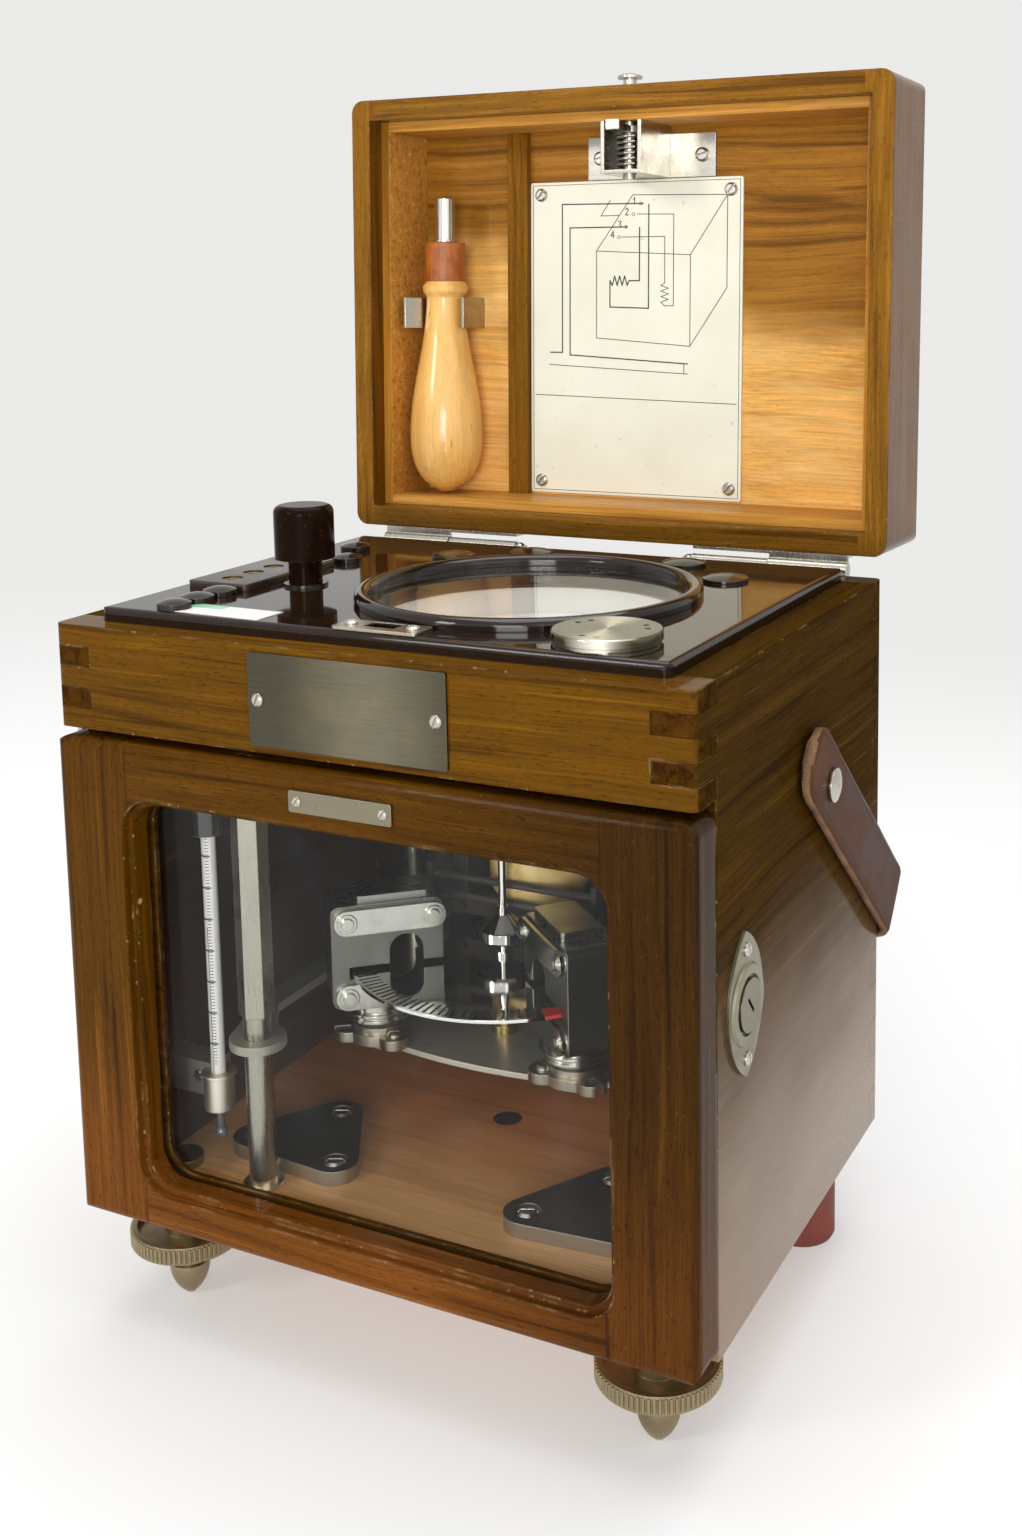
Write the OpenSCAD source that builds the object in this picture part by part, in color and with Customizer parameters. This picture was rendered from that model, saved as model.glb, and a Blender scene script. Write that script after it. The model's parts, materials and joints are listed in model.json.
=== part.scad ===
// Rotating substandard meter: a portable reference meter in a polished wooden case.
// The case stands on two levelling screws and two rubber feet, the glazed door is shut,
// and the lid is open and leans back a little on its hinges.
// X runs to the right, Y from the front to the back, Z up from the table.

/* [Case] */
// Width of the wooden case
case_w = 225; // [215:1:245]
// Depth of the case from the rail's face to the back
case_d = 172; // [168:1:190]
// Height of the case from its underside to its rim
case_h = 202.5; // [198:0.5:225]
// Thickness of the side boards
side_t = 14; // [13:0.5:16]
// Thickness of the back board
back_t = 10; // [9:0.5:12]
// Thickness of the floor board
floor_t = 10; // [8:0.5:14]
// Height of the rail above the door
rail_h = 34; // [30:0.5:36]
// Thickness of the rail above the door
rail_t = 14; // [13:0.5:16]
// Fingers in each joint of the front rail
rail_fingers = 5; // [3:2:7]
// Fingers in each joint of the back board
back_fingers = 15; // [9:2:19]
// Radius of the case's upright corners
case_corner = 3; // [1:0.5:4]
// Height of the case's underside above the table
foot_h = 38; // [34:0.5:44]

/* [Door] */
// Thickness of the door frame
door_t = 15; // [14:0.5:18]
// How far the door stands proud of the rail
door_proud = 2.5; // [1:0.5:4]
// Gap between the shut door and the case behind it
door_gap = 0.5; // [0.4:0.1:1]
// Gap between the door's top and the rail
door_clear = 2.5; // [1.5:0.5:4]
// Width of the window
win_w = 169; // [150:1:175]
// Height of the window
win_h = 131; // [120:1:134]
// Height of the window's middle above the case's underside
win_z = 80.5; // [78:0.5:84]
// Corner radius of the window
win_r = 10; // [6:1:14]
// Depth of the window recess in front of the glass
reveal = 10; // [7:0.5:11]
// Thickness of the window glass
glass_t = 3; // [2:0.5:3]
// Cover of the glass behind the frame on each side
glass_lap = 4; // [3:0.5:6]
// Corner radius of the door seen from the front
door_corner = 5; // [3:0.5:8]
// Radius of the door's and the lid's rounded edges
edge_r = 3.5; // [2:0.5:4]
// Opening angle of the door
door_swing = 110; // [90:5:110]

/* [Lid] */
// Thickness of the whole lid
lid_t = 43; // [42:0.5:50]
// Thickness of the lid's wooden rim
lid_wall = 8; // [7:0.5:10]
// Thickness of the lid's lining
lining_t = 4; // [3:0.5:5]
// Depth of the lining's edge below the lid's rim
lining_set = 9; // [9:0.5:11]
// Thickness of the lid's top board
lid_top = 4.5; // [4:0.5:6]
// Gap between the shut lid and the case's rim
lid_gap = 0.5; // [0.4:0.1:1]
// Opening angle of the lid at rest
lid_open = 92; // [90:1:95]
// Distance of the hinge pins behind the case
pin_out = 5.5; // [4.5:0.5:7]
// Height of the hinge pins above the case's rim
pin_up = 1; // [0.5:0.25:1.5]
// Width of the dividing strip
divider_w = 9; // [7:1:12]
// Height of the dividing strip
divider_h = 3.5; // [2:0.5:4]
// Middle of the dividing strip, to the left of the lid's middle
divider_x = 55.5; // [54:0.5:60]
// Width of the diagram plate
diagram_w = 93; // [80:1:95]
// Height of the diagram plate
diagram_h = 127; // [115:1:128]
// Thickness of the diagram plate
diagram_t = 1; // [0.8:0.1:1.2]

/* [Panel and dial] */
// Height of the instrument panel above the case's rim
panel_rise = 4.5; // [3:0.5:5]
// Depth of the panel's seat in the case's rim
panel_seat = 3; // [2:0.5:4]
// Width of the rim left bare at the sides
rim_side = 11.5; // [10:0.5:12]
// Width of the rim left bare in front
rim_front = 9; // [8:0.5:9]
// Width of the rim left bare at the back
rim_back = 8.5; // [8.5:0.5:10]
// Middle of the dial to the right of the case's middle
dial_x = 20; // [16:1:22]
// Middle of the dial behind the rail's face
dial_y = 79; // [79:0.5:81]
// Radius of the dial's clear opening
dial_r = 52.5; // [48:0.5:52.5]
// Width of the dial ring
ring_w = 5.2; // [5:0.1:5.2]
// Height of the dial ring above the panel
ring_rise = 4; // [3:0.5:5]
// Thickness of the dial glass
dial_glass_t = 2; // [1.5:0.5:2.5]
// Depth of the dial plate below the panel's top
dial_depth = 17; // [12:1:20]
// Depth of the register housing below the panel's top
housing_depth = 33; // [28:1:34]
// Radius of the round cover disc
cover_r = 16.5; // [14:0.1:17]
// Number of sockets in the terminal block
sockets = 4; // [2:1:4]
// Distance between sockets
socket_pitch = 11.8; // [11:0.1:12.5]
// Radius of a socket's bore
socket_r = 2.05; // [1.5:0.05:2.5]
// Depth of a socket's bore
socket_deep = 14; // [10:1:16]

/* [Movement] */
// Radius of the rotor disc
disc_r = 54; // [46:0.5:55]
// Thickness of the rotor disc
disc_t = 1.2; // [1:0.1:1.6]
// Height of the rotor disc above the case's underside
disc_z = 71; // [70:0.5:72]
// Middle of the rotor, from the case's middle
rotor_x = -2; // [-4:0.5:2]
// Middle of the rotor behind the rail's face
rotor_y = 96; // [95:0.5:97]
// Radius of the rotor's shaft
shaft_r = 1.5; // [1.2:0.1:2]
// Running fit of the turning pieces, on the radius
fit = 0.05; // [0.03:0.01:0.09]
// Thickness of the frame plate under the rotor
plate_t = 2; // [1.5:0.5:3]
// Height of the frame plate above the case's underside
plate_z = 42; // [41:0.5:43]
// Travel of the rotor lock's knob
lock_travel = 8; // [6:0.5:8]
// Radius of the lock knob's cap
knob_r = 10.3; // [9:0.1:11]

/* [Feet, strap and tool] */
// Radius of the knurled levelling wheel
wheel_r = 19.5; // [17:0.5:20]
// Ridges round the knurled wheel
knurls = 72; // [48:6:90]
// Distance of the levelling screws from the case's middle
level_x = 89; // [86:0.5:90]
// Distance of the levelling screws behind the rail's face
level_y = 23; // [22:0.5:26]
// Radius of the rubber feet
rubber_r = 12.5; // [10:0.5:14]
// Width of the carrying strap
strap_w = 25; // [20:1:27]
// Thickness of the carrying strap
strap_t = 4; // [3:0.5:5]
// Reach of the strap from its studs to its crosspiece
strap_reach = 106.5; // [106.5:0.5:110]
// Slope of the hanging strap below the level
strap_hang = 41; // [40:1:42]
// Length of the tool's wooden handle
handle_l = 87; // [80:1:90]
// Largest radius of the tool's handle
belly_r = 15; // [13:0.5:15]
// Radius of the handle's neck
neck_r = 7.8; // [7:0.1:8]

/* [Hidden] */
$fn = 64;
seat = 0.1;
rise_gap = 0.3;

// Places that the door, the case and the lid share
board_y = door_t - door_proud + door_gap;
rail_z = case_h - rail_h;
door_z0 = door_gap;
door_z1 = rail_z - door_clear;
inner_x = case_w / 2 - side_t;
inner_back = case_d - back_t;
finger_h = rail_h / rail_fingers;
back_finger_h = case_h / back_fingers;
panel_w = case_w - 2 * rim_side;
panel_d = case_d - rim_front - rim_back;
panel_y = rim_front + panel_d / 2;
panel_top = case_h + panel_rise;
panel_foot = case_h - panel_seat;
ring_r = dial_r + ring_w;
spigot_r = dial_r + 3;
pin_y = case_d + pin_out;
pin_z = case_h + pin_up;
wheel_top = -11;
wheel_t = 6;
badge_t = 1;
head_rise = 0.8;
badge_x = -1.5;
badge_z = (door_z1 + win_z + win_h / 2) / 2;

// The bounding box's front is the number plate's screws, its back the open lid's corner
lid_reach_y = pin_y - edge_r;
lid_reach_z = case_h + lid_gap + lid_t - edge_r - pin_z;
y_back = pin_y - lid_reach_y * cos(lid_open) + lid_reach_z * sin(lid_open) + edge_r;
y_front = -(door_proud + badge_t + head_rise);
y_shift = -(y_front + y_back) / 2;

// Coordinates of the case: Y from the rail's face, Z from the case's underside
module in_case() {
    translate([0, y_shift, foot_h]) children();
}

// Coordinates of the lid as if shut: Z is the depth from the plane of the lid's rim
module in_lid() {
    in_case()
        translate([0, pin_y, pin_z])
            rotate([-lid_open, 0, 0])
                translate([0, -pin_y, case_h + lid_gap - pin_z]) children();
}

// A rectangle with round corners about the origin
module soft_rect(w, h, r) {
    square([w - 2 * r, h], center = true);
    square([w, h - 2 * r], center = true);
    for (sx = [-1, 1], sy = [-1, 1])
        translate([sx * (w / 2 - r), sy * (h / 2 - r)]) circle(r = r, $fn = 48);
}

// Extrude an outline seen from the front between two depths
module from_front(y0, y1) {
    translate([0, y1, 0]) rotate([90, 0, 0]) linear_extrude(y1 - y0) children();
}

// Extrude an outline seen from the right, with Y to the right, between two places along X
module from_side(x0, x1) {
    translate([x0, 0, 0]) rotate([90, 0, 90]) linear_extrude(x1 - x0) children();
}

// A board with round corners in its outline and round edges on its outer face, which is at z = t
module soft_board(w, d, t, r_corner, r_edge) {
    intersection() {
        linear_extrude(t) soft_rect(w, d, r_corner);
        translate([0, d / 2, 0])
            rotate([90, 0, 0])
                linear_extrude(d) translate([0, t / 2 - t]) soft_rect(w, 3 * t, r_edge);
        translate([-w / 2, 0, 0])
            rotate([90, 0, 90])
                linear_extrude(w) translate([0, t / 2 - t]) soft_rect(d, 3 * t, r_edge);
    }
}

// Slotted screw standing on z = 0, its head upward and its shank downward
module screw(head_r, head_h, shank_r, shank_l, turn = 30) {
    difference() {
        union() {
            cylinder(r = head_r, h = head_h * 0.45);
            translate([0, 0, head_h * 0.45]) cylinder(r1 = head_r, r2 = head_r * 0.7, h = head_h * 0.55);
        }
        rotate([0, 0, turn])
            translate([-head_r * 1.1, -head_r * 0.14, head_h * 0.45])
                cube([head_r * 2.2, head_r * 0.28, head_h]);
    }
    translate([0, 0, -shank_l]) cylinder(r = shank_r, h = shank_l + head_h * 0.3);
}

// Hole for such a shank
module screw_hole(shank_r, shank_l) {
    translate([0, 0, -shank_l - seat]) cylinder(r = shank_r + seat, h = shank_l + 10);
}

// Places of the screws that the case carries: [x, y, z] with the direction that the head faces
notice_w = 70;
notice_h = 29.3;
notice_z = case_h - rail_h / 2;
small_r = 2.1;
shank = 1.1;
shank_deep = 6;
module notice_places() {
    for (s = [-1, 1]) translate([s * (notice_w / 2 - 3.5), -badge_t, notice_z]) rotate([90, 0, 0]) children();
}
badge_w = 36.6;
badge_h = 6.8;
badge_shank = 0.9;
module badge_places() {
    for (s = [-1, 1])
        translate([badge_x + s * (badge_w / 2 - 3), -door_proud - badge_t, badge_z]) rotate([90, 0, 0]) children();
}
latch_x = 3.5;
catch_w = 30;
catch_d = dial_y - ring_r - rim_front - 1.3;
catch_y = rim_front + 0.8 + catch_d / 2;
slot_y0 = rim_front + 4.3;
hook_y = slot_y0 + 1.7;
module catch_places() {
    for (s = [-1, 1]) translate([latch_x + s * (catch_w / 2 - 4), catch_y, panel_top + badge_t]) children();
}
lock_y = 33.3;
lock_z = 101;
lock_plate_t = 1.2;
module lock_places() {
    for (s = [-1, 1])
        translate([case_w / 2 + lock_plate_t, lock_y, lock_z + s * 16.7]) rotate([0, 90, 0]) children();
}
floor_screw_r = 3.6;
floor_plate_t = 5;
lobes = [[37, 38], [72, 41], [54, 67]];
module floor_plate_places() {
    for (s = [-1, 1], p = lobes) translate([s * p[0], p[1], floor_t + floor_plate_t - 1.6]) children();
}
clip_x = -84;
clip_z = 41;
module clip_places() {
    translate([clip_x, thermo_y + 1, clip_z]) rotate([90, 0, 0]) children();
}

// Case

module case_plan() {
    translate([0, case_d / 2]) soft_rect(case_w, case_d, case_corner);
}

// The rail's own fingers, or with odd set those of the side board
module rail_finger_bands(odd) {
    for (k = [0 : rail_fingers - 1])
        if (k % 2 == odd)
            translate([-case_w / 2 - 1, -1, rail_z + k * finger_h]) cube([case_w + 2, rail_t + 1, finger_h]);
}

module back_finger_bands(odd) {
    for (k = [0 : back_fingers - 1])
        if (k % 2 == odd)
            translate([-case_w / 2 - 1, inner_back, k * back_finger_h]) cube([case_w + 2, back_t + 1, back_finger_h]);
}

module panel_seat_cut() {
    translate([0, panel_y, panel_foot]) linear_extrude(panel_seat + 1) soft_rect(panel_w, panel_d, case_corner);
}

lid_hinge_l = 60.5;
lid_hinge_x = 68;
leaf_t = 1.2;
leaf_w = 12;
door_hinge_l = 36;
door_hinge_z = [36, 130];
door_leaf_w = 11;
door_leaf_t = 1;

// One side board, at the right
module side_board() {
    difference() {
        intersection() {
            linear_extrude(case_h) case_plan();
            union() {
                translate([inner_x, board_y, 0]) cube([side_t, inner_back - board_y, rail_z]);
                translate([inner_x, rail_t, rail_z]) cube([side_t, inner_back - rail_t, rail_h]);
                intersection() {
                    translate([inner_x, -1, rail_z]) cube([side_t, rail_t + 1, rail_h]);
                    rail_finger_bands(1);
                }
                intersection() {
                    translate([inner_x, inner_back, 0]) cube([side_t, back_t, case_h]);
                    back_finger_bands(1);
                }
            }
        }
        panel_seat_cut();
        translate([case_w / 2, strap_py, strap_pz]) rotate([0, 90, 0]) screw_hole(stud_shank_r, stud_deep);
    }
}

module side_left() {
    color("saddlebrown") in_case() difference() {
        mirror([1, 0, 0]) side_board();
        door_hinge_case_leaf();
    }
}

module side_right() {
    color("saddlebrown") in_case() difference() {
        side_board();
        translate([inner_x - 1, lock_y, lock_z]) rotate([0, 90, 0]) cylinder(r = lock_tube_r, h = side_t + 2);
        lock_places() screw_hole(shank, shank_deep);
    }
}

module back_board() {
    color("sienna") in_case() difference() {
        intersection() {
            linear_extrude(case_h) case_plan();
            union() {
                translate([-inner_x, inner_back, 0]) cube([2 * inner_x, back_t, case_h]);
                intersection() {
                    translate([-case_w / 2, inner_back, 0]) cube([case_w, back_t, case_h]);
                    back_finger_bands(0);
                }
            }
        }
        panel_seat_cut();
    }
}

module floor_board() {
    color("peru") in_case() difference() {
        translate([-inner_x, board_y, 0]) cube([2 * inner_x, inner_back - board_y, floor_t]);
        for (s = [-1, 1])
            translate([s * level_x, level_y, -1]) cylinder(r = bush_r, h = floor_t + 2);
        translate([rotor_x, rotor_y, floor_t - 3]) cylinder(r = plug_r, h = 4);
        floor_plate_places() screw_hole(shank * 1.5, floor_plate_t + 2);
    }
}

module front_rail() {
    color("peru") in_case() difference() {
        intersection() {
            linear_extrude(case_h) case_plan();
            union() {
                translate([-inner_x, 0, rail_z]) cube([2 * inner_x, rail_t, rail_h]);
                rail_finger_bands(0);
            }
        }
        panel_seat_cut();
        notice_places() screw_hole(shank, shank_deep);
    }
}

// Panel and dial

knob_x = -60;
knob_y = 66;
knob_shaft_r = 5.75;
block_x = -83.5;
block_w = 25;
block_y0 = 47;
block_h = 2.5;
block_len = (sockets - 1) * socket_pitch + 18;
socket_y = block_y0 + 9;
sleeve_r = socket_r + 1.6;
catch_pocket_w = 14;
catch_pocket_d = 8.7;

module socket_places() {
    for (k = [0 : sockets - 1]) translate([block_x, socket_y + k * socket_pitch, 0]) children();
}

module instrument_panel() {
    color([0.16, 0.07, 0.04]) in_case() difference() {
        union() {
            translate([0, panel_y, panel_foot])
                soft_board(panel_w, panel_d, panel_rise + panel_seat, case_corner, 1.8);
            translate([knob_x, knob_y, panel_top - 1]) cylinder(r = 7.6, h = 2);
        }
        translate([dial_x, dial_y, panel_foot - 1]) cylinder(r = spigot_r, h = panel_rise + panel_seat + 2);
        translate([knob_x, knob_y, panel_foot - 1])
            cylinder(r = knob_shaft_r + fit, h = panel_rise + panel_seat + 4);
        translate([latch_x - catch_pocket_w / 2, slot_y0 - 1.8, panel_top - 6])
            cube([catch_pocket_w, catch_pocket_d, 7]);
        catch_places() screw_hole(shank, 4);
        socket_places() translate([0, 0, panel_foot - 1]) cylinder(r = sleeve_r, h = panel_rise + panel_seat + 2);
    }
}

module dial_ring() {
    color([0.12, 0.05, 0.03]) in_case() translate([dial_x, dial_y, panel_top]) rotate_extrude($fn = 96) {
        difference() {
            union() {
                translate([dial_r, 0]) square([ring_w, ring_rise - ring_w / 2 + 0.6]);
                intersection() {
                    translate([dial_r + ring_w / 2, ring_rise - ring_w / 2])
                        circle(r = ring_w / 2, $fn = 48);
                    translate([dial_r, 0.1]) square(2 * ring_w);
                }
                translate([dial_r - 1.5, -panel_rise - panel_seat])
                    square([spigot_r - 0.4 - dial_r + 1.5, panel_rise + panel_seat + 0.2]);
            }
            translate([0, -dial_glass_t]) square([dial_r, 20]);
            translate([dial_r - 2, -dial_glass_t]) square([2.5, dial_glass_t]);
        }
    }
}

module dial_glass() {
    color([0.8, 0.9, 0.9, 0.3]) in_case()
        translate([dial_x, dial_y, panel_top - dial_glass_t]) cylinder(r = dial_r + 0.5, h = dial_glass_t);
}

housing_r = spigot_r - 0.5;
module register_housing() {
    color("lightgray") in_case() translate([dial_x, dial_y, 0]) difference() {
        union() {
            translate([0, 0, panel_top - housing_depth]) cylinder(r = housing_r, h = housing_depth - panel_rise - panel_seat);
            translate([0, 0, panel_foot - 2]) cylinder(r = spigot_r + 3, h = 2);
        }
        translate([0, 0, panel_top - housing_depth + 2]) cylinder(r = dial_r - 1, h = housing_depth);
        translate([0, 0, panel_top - housing_depth - 1]) cylinder(r = arbor_r + fit, h = 4);
    }
}

arbor_r = 1.5;
dial_plate_z = panel_top - dial_depth;
dial_plate_t = 1;
module dial_plate() {
    color("white") in_case() difference() {
        union() {
            translate([dial_x, dial_y, dial_plate_z - dial_plate_t]) cylinder(r = dial_r - 1 - seat, h = dial_plate_t);
            translate([dial_x, dial_y, panel_top - housing_depth + 2])
                cylinder(r = 8, h = housing_depth - dial_depth - dial_plate_t - 2);
        }
        translate([dial_x, dial_y, panel_top - housing_depth]) cylinder(r = arbor_r + fit, h = housing_depth);
    }
}

module terminal_block() {
    color([0.15, 0.07, 0.04]) in_case() difference() {
        translate([block_x, block_y0 + block_len / 2, panel_top]) soft_board(block_w, block_len, block_h, 2, 0.8);
        socket_places() translate([0, 0, panel_top - 1]) cylinder(r = sleeve_r, h = block_h + 2);
    }
}

// Brass sleeves that take a test lead's plug, held by a nut under the panel
module terminal_sleeves() {
    color("goldenrod") in_case() socket_places() translate([0, 0, panel_top + block_h - 0.6]) difference() {
        union() {
            translate([0, 0, -panel_rise - panel_seat - block_h - 6])
                cylinder(r = sleeve_r, h = panel_rise + panel_seat + block_h + 6);
            translate([0, 0, -panel_rise - panel_seat - block_h + 0.6 - 3]) cylinder(r = sleeve_r * 1.45, h = 3, $fn = 6);
        }
        translate([0, 0, -socket_deep]) cylinder(r = socket_r, h = socket_deep + 1);
    }
}

// Domed caps that cover the panel's fixings, and the plug in the floor
module round_cap(r, h) {
    intersection() {
        cylinder(r = r, h = h);
        translate([0, 0, h - (r * r + 1.44) / 2.4]) sphere(r = (r * r + 1.44) / 2.4, $fn = 96);
    }
}
dome_places = [[-76.5, 16.5], [-76.5, 28.2], [-76.5, 39.9], [-72, 109], [-83, 131]];
cap_places = [[-39.5, 131], [-15.5, 148], [46.5, 148], [71, 126]];
plug_r = 5.3;
module round_caps() {
    color([0.14, 0.06, 0.03]) in_case() {
        for (p = dome_places) translate([p[0], p[1], panel_top]) round_cap(5.6, 3.2);
        for (p = cap_places) translate([p[0], p[1], panel_top]) round_cap(8, 2.4);
        translate([rotor_x, rotor_y, floor_t - 3]) round_cap(plug_r, 4);
    }
}

cover_y = rim_front + 1 + cover_r;
cover_x = dial_x + sqrt(pow(ring_r + cover_r + 0.7, 2) - pow(dial_y - cover_y, 2));
module cover_disc() {
    color("silver") in_case() translate([cover_x, cover_y, panel_top]) difference() {
        union() {
            cylinder(r = cover_r - 0.6, h = 1.2);
            translate([0, 0, 1.2]) cylinder(r = cover_r, h = 2.4);
            translate([0, 0, 3.6]) cylinder(r1 = cover_r, r2 = cover_r - 0.4, h = 0.4);
        }
        for (a = [30, 150, 270], d = [-1, 1])
            rotate([0, 0, a + d * 11]) translate([cover_r * 0.72, 0, 1.5]) cylinder(r = 0.9, h = 4);
    }
}

slot_w = 11;
slot_d = 6.4;
module catch_plate() {
    color("silver") in_case() difference() {
        translate([latch_x, catch_y, panel_top]) linear_extrude(badge_t) soft_rect(catch_w, catch_d, 1.2);
        translate([latch_x - slot_w / 2, slot_y0, panel_top - 1]) cube([slot_w, slot_d, 3]);
        catch_places() screw_hole(shank, 3);
    }
}

module notice_plate() {
    color("gray") in_case() difference() {
        from_front(-badge_t, 0) translate([0, notice_z]) soft_rect(notice_w, notice_h, 1);
        notice_places() screw_hole(shank, 3);
    }
}

// Every slotted screw that the case itself carries
module case_screws() {
    color("silver") in_case() {
        notice_places() screw(small_r, head_rise * 1.4, shank, shank_deep, 70);
        catch_places() screw(small_r, head_rise * 1.2, shank, 4, 20);
        lock_places() screw(small_r, head_rise * 1.4, shank, shank_deep, 10);
        floor_plate_places() screw(floor_screw_r, 1.9, shank * 1.5, floor_plate_t + 2, 25);
        clip_places() screw(small_r, 1.2, shank, shank_deep, 40);
    }
}

// Strap studs and the lock

strap_py = 101;
strap_pz = 148;
stud_shank_r = 2;
stud_deep = 9;
stud_r = 3.4;
washer_t = 1;
module stud() {
    cylinder(r = 6.5, h = washer_t);
    cylinder(r = stud_r, h = washer_t + strap_t + 2 * rise_gap);
    translate([0, 0, washer_t + strap_t + 2 * rise_gap]) round_cap(5.6, 2);
    translate([0, 0, -stud_deep]) cylinder(r = stud_shank_r, h = stud_deep);
}
module strap_studs() {
    color("silver") in_case() for (s = [-1, 1])
        translate([s * case_w / 2, strap_py, strap_pz]) rotate([0, s * 90, 0]) stud();
}

lock_tube_r = 7;
barrel_r = 5.4;
barrel_head_r = 8;
lock_body = [10, 27, 30];
module lock_case() {
    color("silver") in_case() translate([0, lock_y, lock_z]) difference() {
        union() {
            from_side(case_w / 2, case_w / 2 + lock_plate_t) intersection() {
                translate([-11.75, 0]) circle(r = 25.25, $fn = 96);
                translate([11.75, 0]) circle(r = 25.25, $fn = 96);
            }
            translate([case_w / 2 + lock_plate_t, 0, 0]) rotate([0, 90, 0]) cylinder(r1 = 12.4, r2 = 11.8, h = 0.9);
            translate([inner_x, 0, 0]) rotate([0, 90, 0]) cylinder(r = lock_tube_r, h = side_t);
            translate([inner_x - lock_body[0], -lock_body[1] / 2, -lock_body[2] / 2]) cube(lock_body);
        }
        translate([inner_x - lock_body[0] - 1, 0, 0]) rotate([0, 90, 0]) cylinder(r = barrel_r + fit, h = 40);
        translate([case_w / 2 + lock_plate_t - 0.2, 0, 0]) rotate([0, 90, 0]) cylinder(r = barrel_head_r + 1, h = 4);
        for (s = [-1, 1])
            translate([case_w / 2 + lock_plate_t, 0, s * 16.7]) rotate([0, 90, 0]) screw_hole(shank, 3);
    }
}

cam_x = inner_x - lock_body[0] - rise_gap - 2;
cam_l = 15;
nose_l = 9;
module lock_barrel() {
    color("gainsboro") in_case() translate([0, lock_y, lock_z]) {
        difference() {
            union() {
                translate([cam_x + 2.1, 0, 0]) rotate([0, 90, 0])
                    cylinder(r = barrel_r, h = case_w / 2 + lock_plate_t - 0.9 - cam_x);
                translate([case_w / 2 + lock_plate_t + 0.2, 0, 0]) rotate([0, 90, 0]) cylinder(r = barrel_head_r, h = 1.2);
            }
            translate([case_w / 2 + lock_plate_t - 1.5, 0, 0])
                rotate([40, 0, 0]) translate([0, -0.6, -3.6]) cube([5, 1.2, 7.2]);
        }
        from_side(cam_x, cam_x + 2) {
            translate([-barrel_r, 0]) square([2 * barrel_r, cam_l - 4]);
            translate([-nose_l, cam_l - 4]) square([nose_l + barrel_r, 4]);
            circle(r = barrel_r + 1.5);
        }
    }
}

// Movement

pillar_x = -55.5;
pillar_y = 23;
pillar_r = 4.7;
rear_pillar_y = case_d - 23.5;
rear_pillars = [40.5 - case_w / 2, case_w / 2 - 50.5];
arm_z = 59.5;
arm_t = 3;
plate_back_y = rear_pillar_y + 4.5;
frame_t = 4;

// Posts between the floor and the panel: a hexagonal one in front, round ones behind
module pillars() {
    color("lightgray") in_case() {
        translate([pillar_x, pillar_y, floor_t]) {
            cylinder(r = 6.8, h = 1.2);
            cylinder(r = pillar_r, h = arm_z - floor_t);
            translate([0, 0, arm_z - floor_t]) cylinder(r = 3, h = arm_t + 1);
            translate([0, 0, arm_z + arm_t - floor_t]) cylinder(r = pillar_r, h = 8);
            translate([0, 0, arm_z + arm_t + 8 - floor_t])
                rotate([0, 0, 30]) cylinder(r = 6, h = panel_foot - arm_z - arm_t - 8, $fn = 6);
        }
        for (x = rear_pillars)
            translate([x, rear_pillar_y, floor_t]) {
                cylinder(r = 4.5, h = panel_foot - floor_t);
                for (z = [40, 130]) translate([-4, 0, z]) cube([8, plate_back_y - rear_pillar_y, 16]);
            }
    }
}

module bracket_arm() {
    color("silver") in_case() translate([0, 0, arm_z]) difference() {
        union() {
            translate([pillar_x, pillar_y, 0]) cylinder(r = 9.5, h = arm_t);
            linear_extrude(arm_t) polygon([
                [pillar_x - 8.5, pillar_y - 3], [pillar_x + 3.5, pillar_y + 5], [-64, 46],
                [-64, rear_pillar_y], [-73, rear_pillar_y], [-73, 46]
            ]);
        }
        translate([pillar_x, pillar_y, -1]) cylinder(r = 3, h = arm_t + 2);
        translate([rear_pillars[0], rear_pillar_y, -1]) cylinder(r = 4.5, h = arm_t + 2);
    }
}

// Flat plate with a bowed front edge, which carries the brake magnets and the lower bearing
bow_r = 170;
module frame_plate() {
    color("darkgray") in_case() difference() {
        translate([0, 0, plate_z]) linear_extrude(plate_t) intersection() {
            translate([rotor_x, rotor_y - 29 + bow_r]) circle(r = bow_r, $fn = 192);
            translate([rotor_x - 52, rotor_y - 36]) square([104, plate_back_y - rotor_y + 36]);
        }
        translate([rotor_x, rotor_y, plate_z - 1]) cylinder(r = 4, h = plate_t + 2);
        for (s = [-1, 1])
            translate([rotor_x + s * magnet_dx, rotor_y - magnet_dy, plate_z - 1]) cylinder(r = 2, h = plate_t + 2);
    }
}

bridge_z = 160;
bridge_t = 5;
// Upright casting behind the rotor, with the shelf under the plate and the bridge over the shaft
module frame_back() {
    color("gray") in_case() difference() {
        union() {
            from_front(plate_back_y, plate_back_y + frame_t)
                translate([-5, (plate_z + bridge_z) / 2]) soft_rect(150, bridge_z - plate_z + 28, 6);
            translate([rotor_x - 9, rotor_y, bridge_z]) cube([18, plate_back_y - rotor_y, bridge_t]);
            translate([rotor_x, rotor_y, bridge_z]) cylinder(r = 9, h = bridge_t);
            translate([rotor_x - 30, plate_back_y - 12, plate_z - 6]) cube([60, 12, 6]);
        }
        from_front(plate_back_y - 1, plate_back_y + frame_t + 1) {
            translate([-48, 104]) soft_rect(26, 62, 5);
            translate([48, 104]) soft_rect(22, 62, 5);
        }
        translate([rotor_x, rotor_y, bridge_z - 1]) cylinder(r = 4, h = bridge_t + 2);
    }
}

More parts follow.
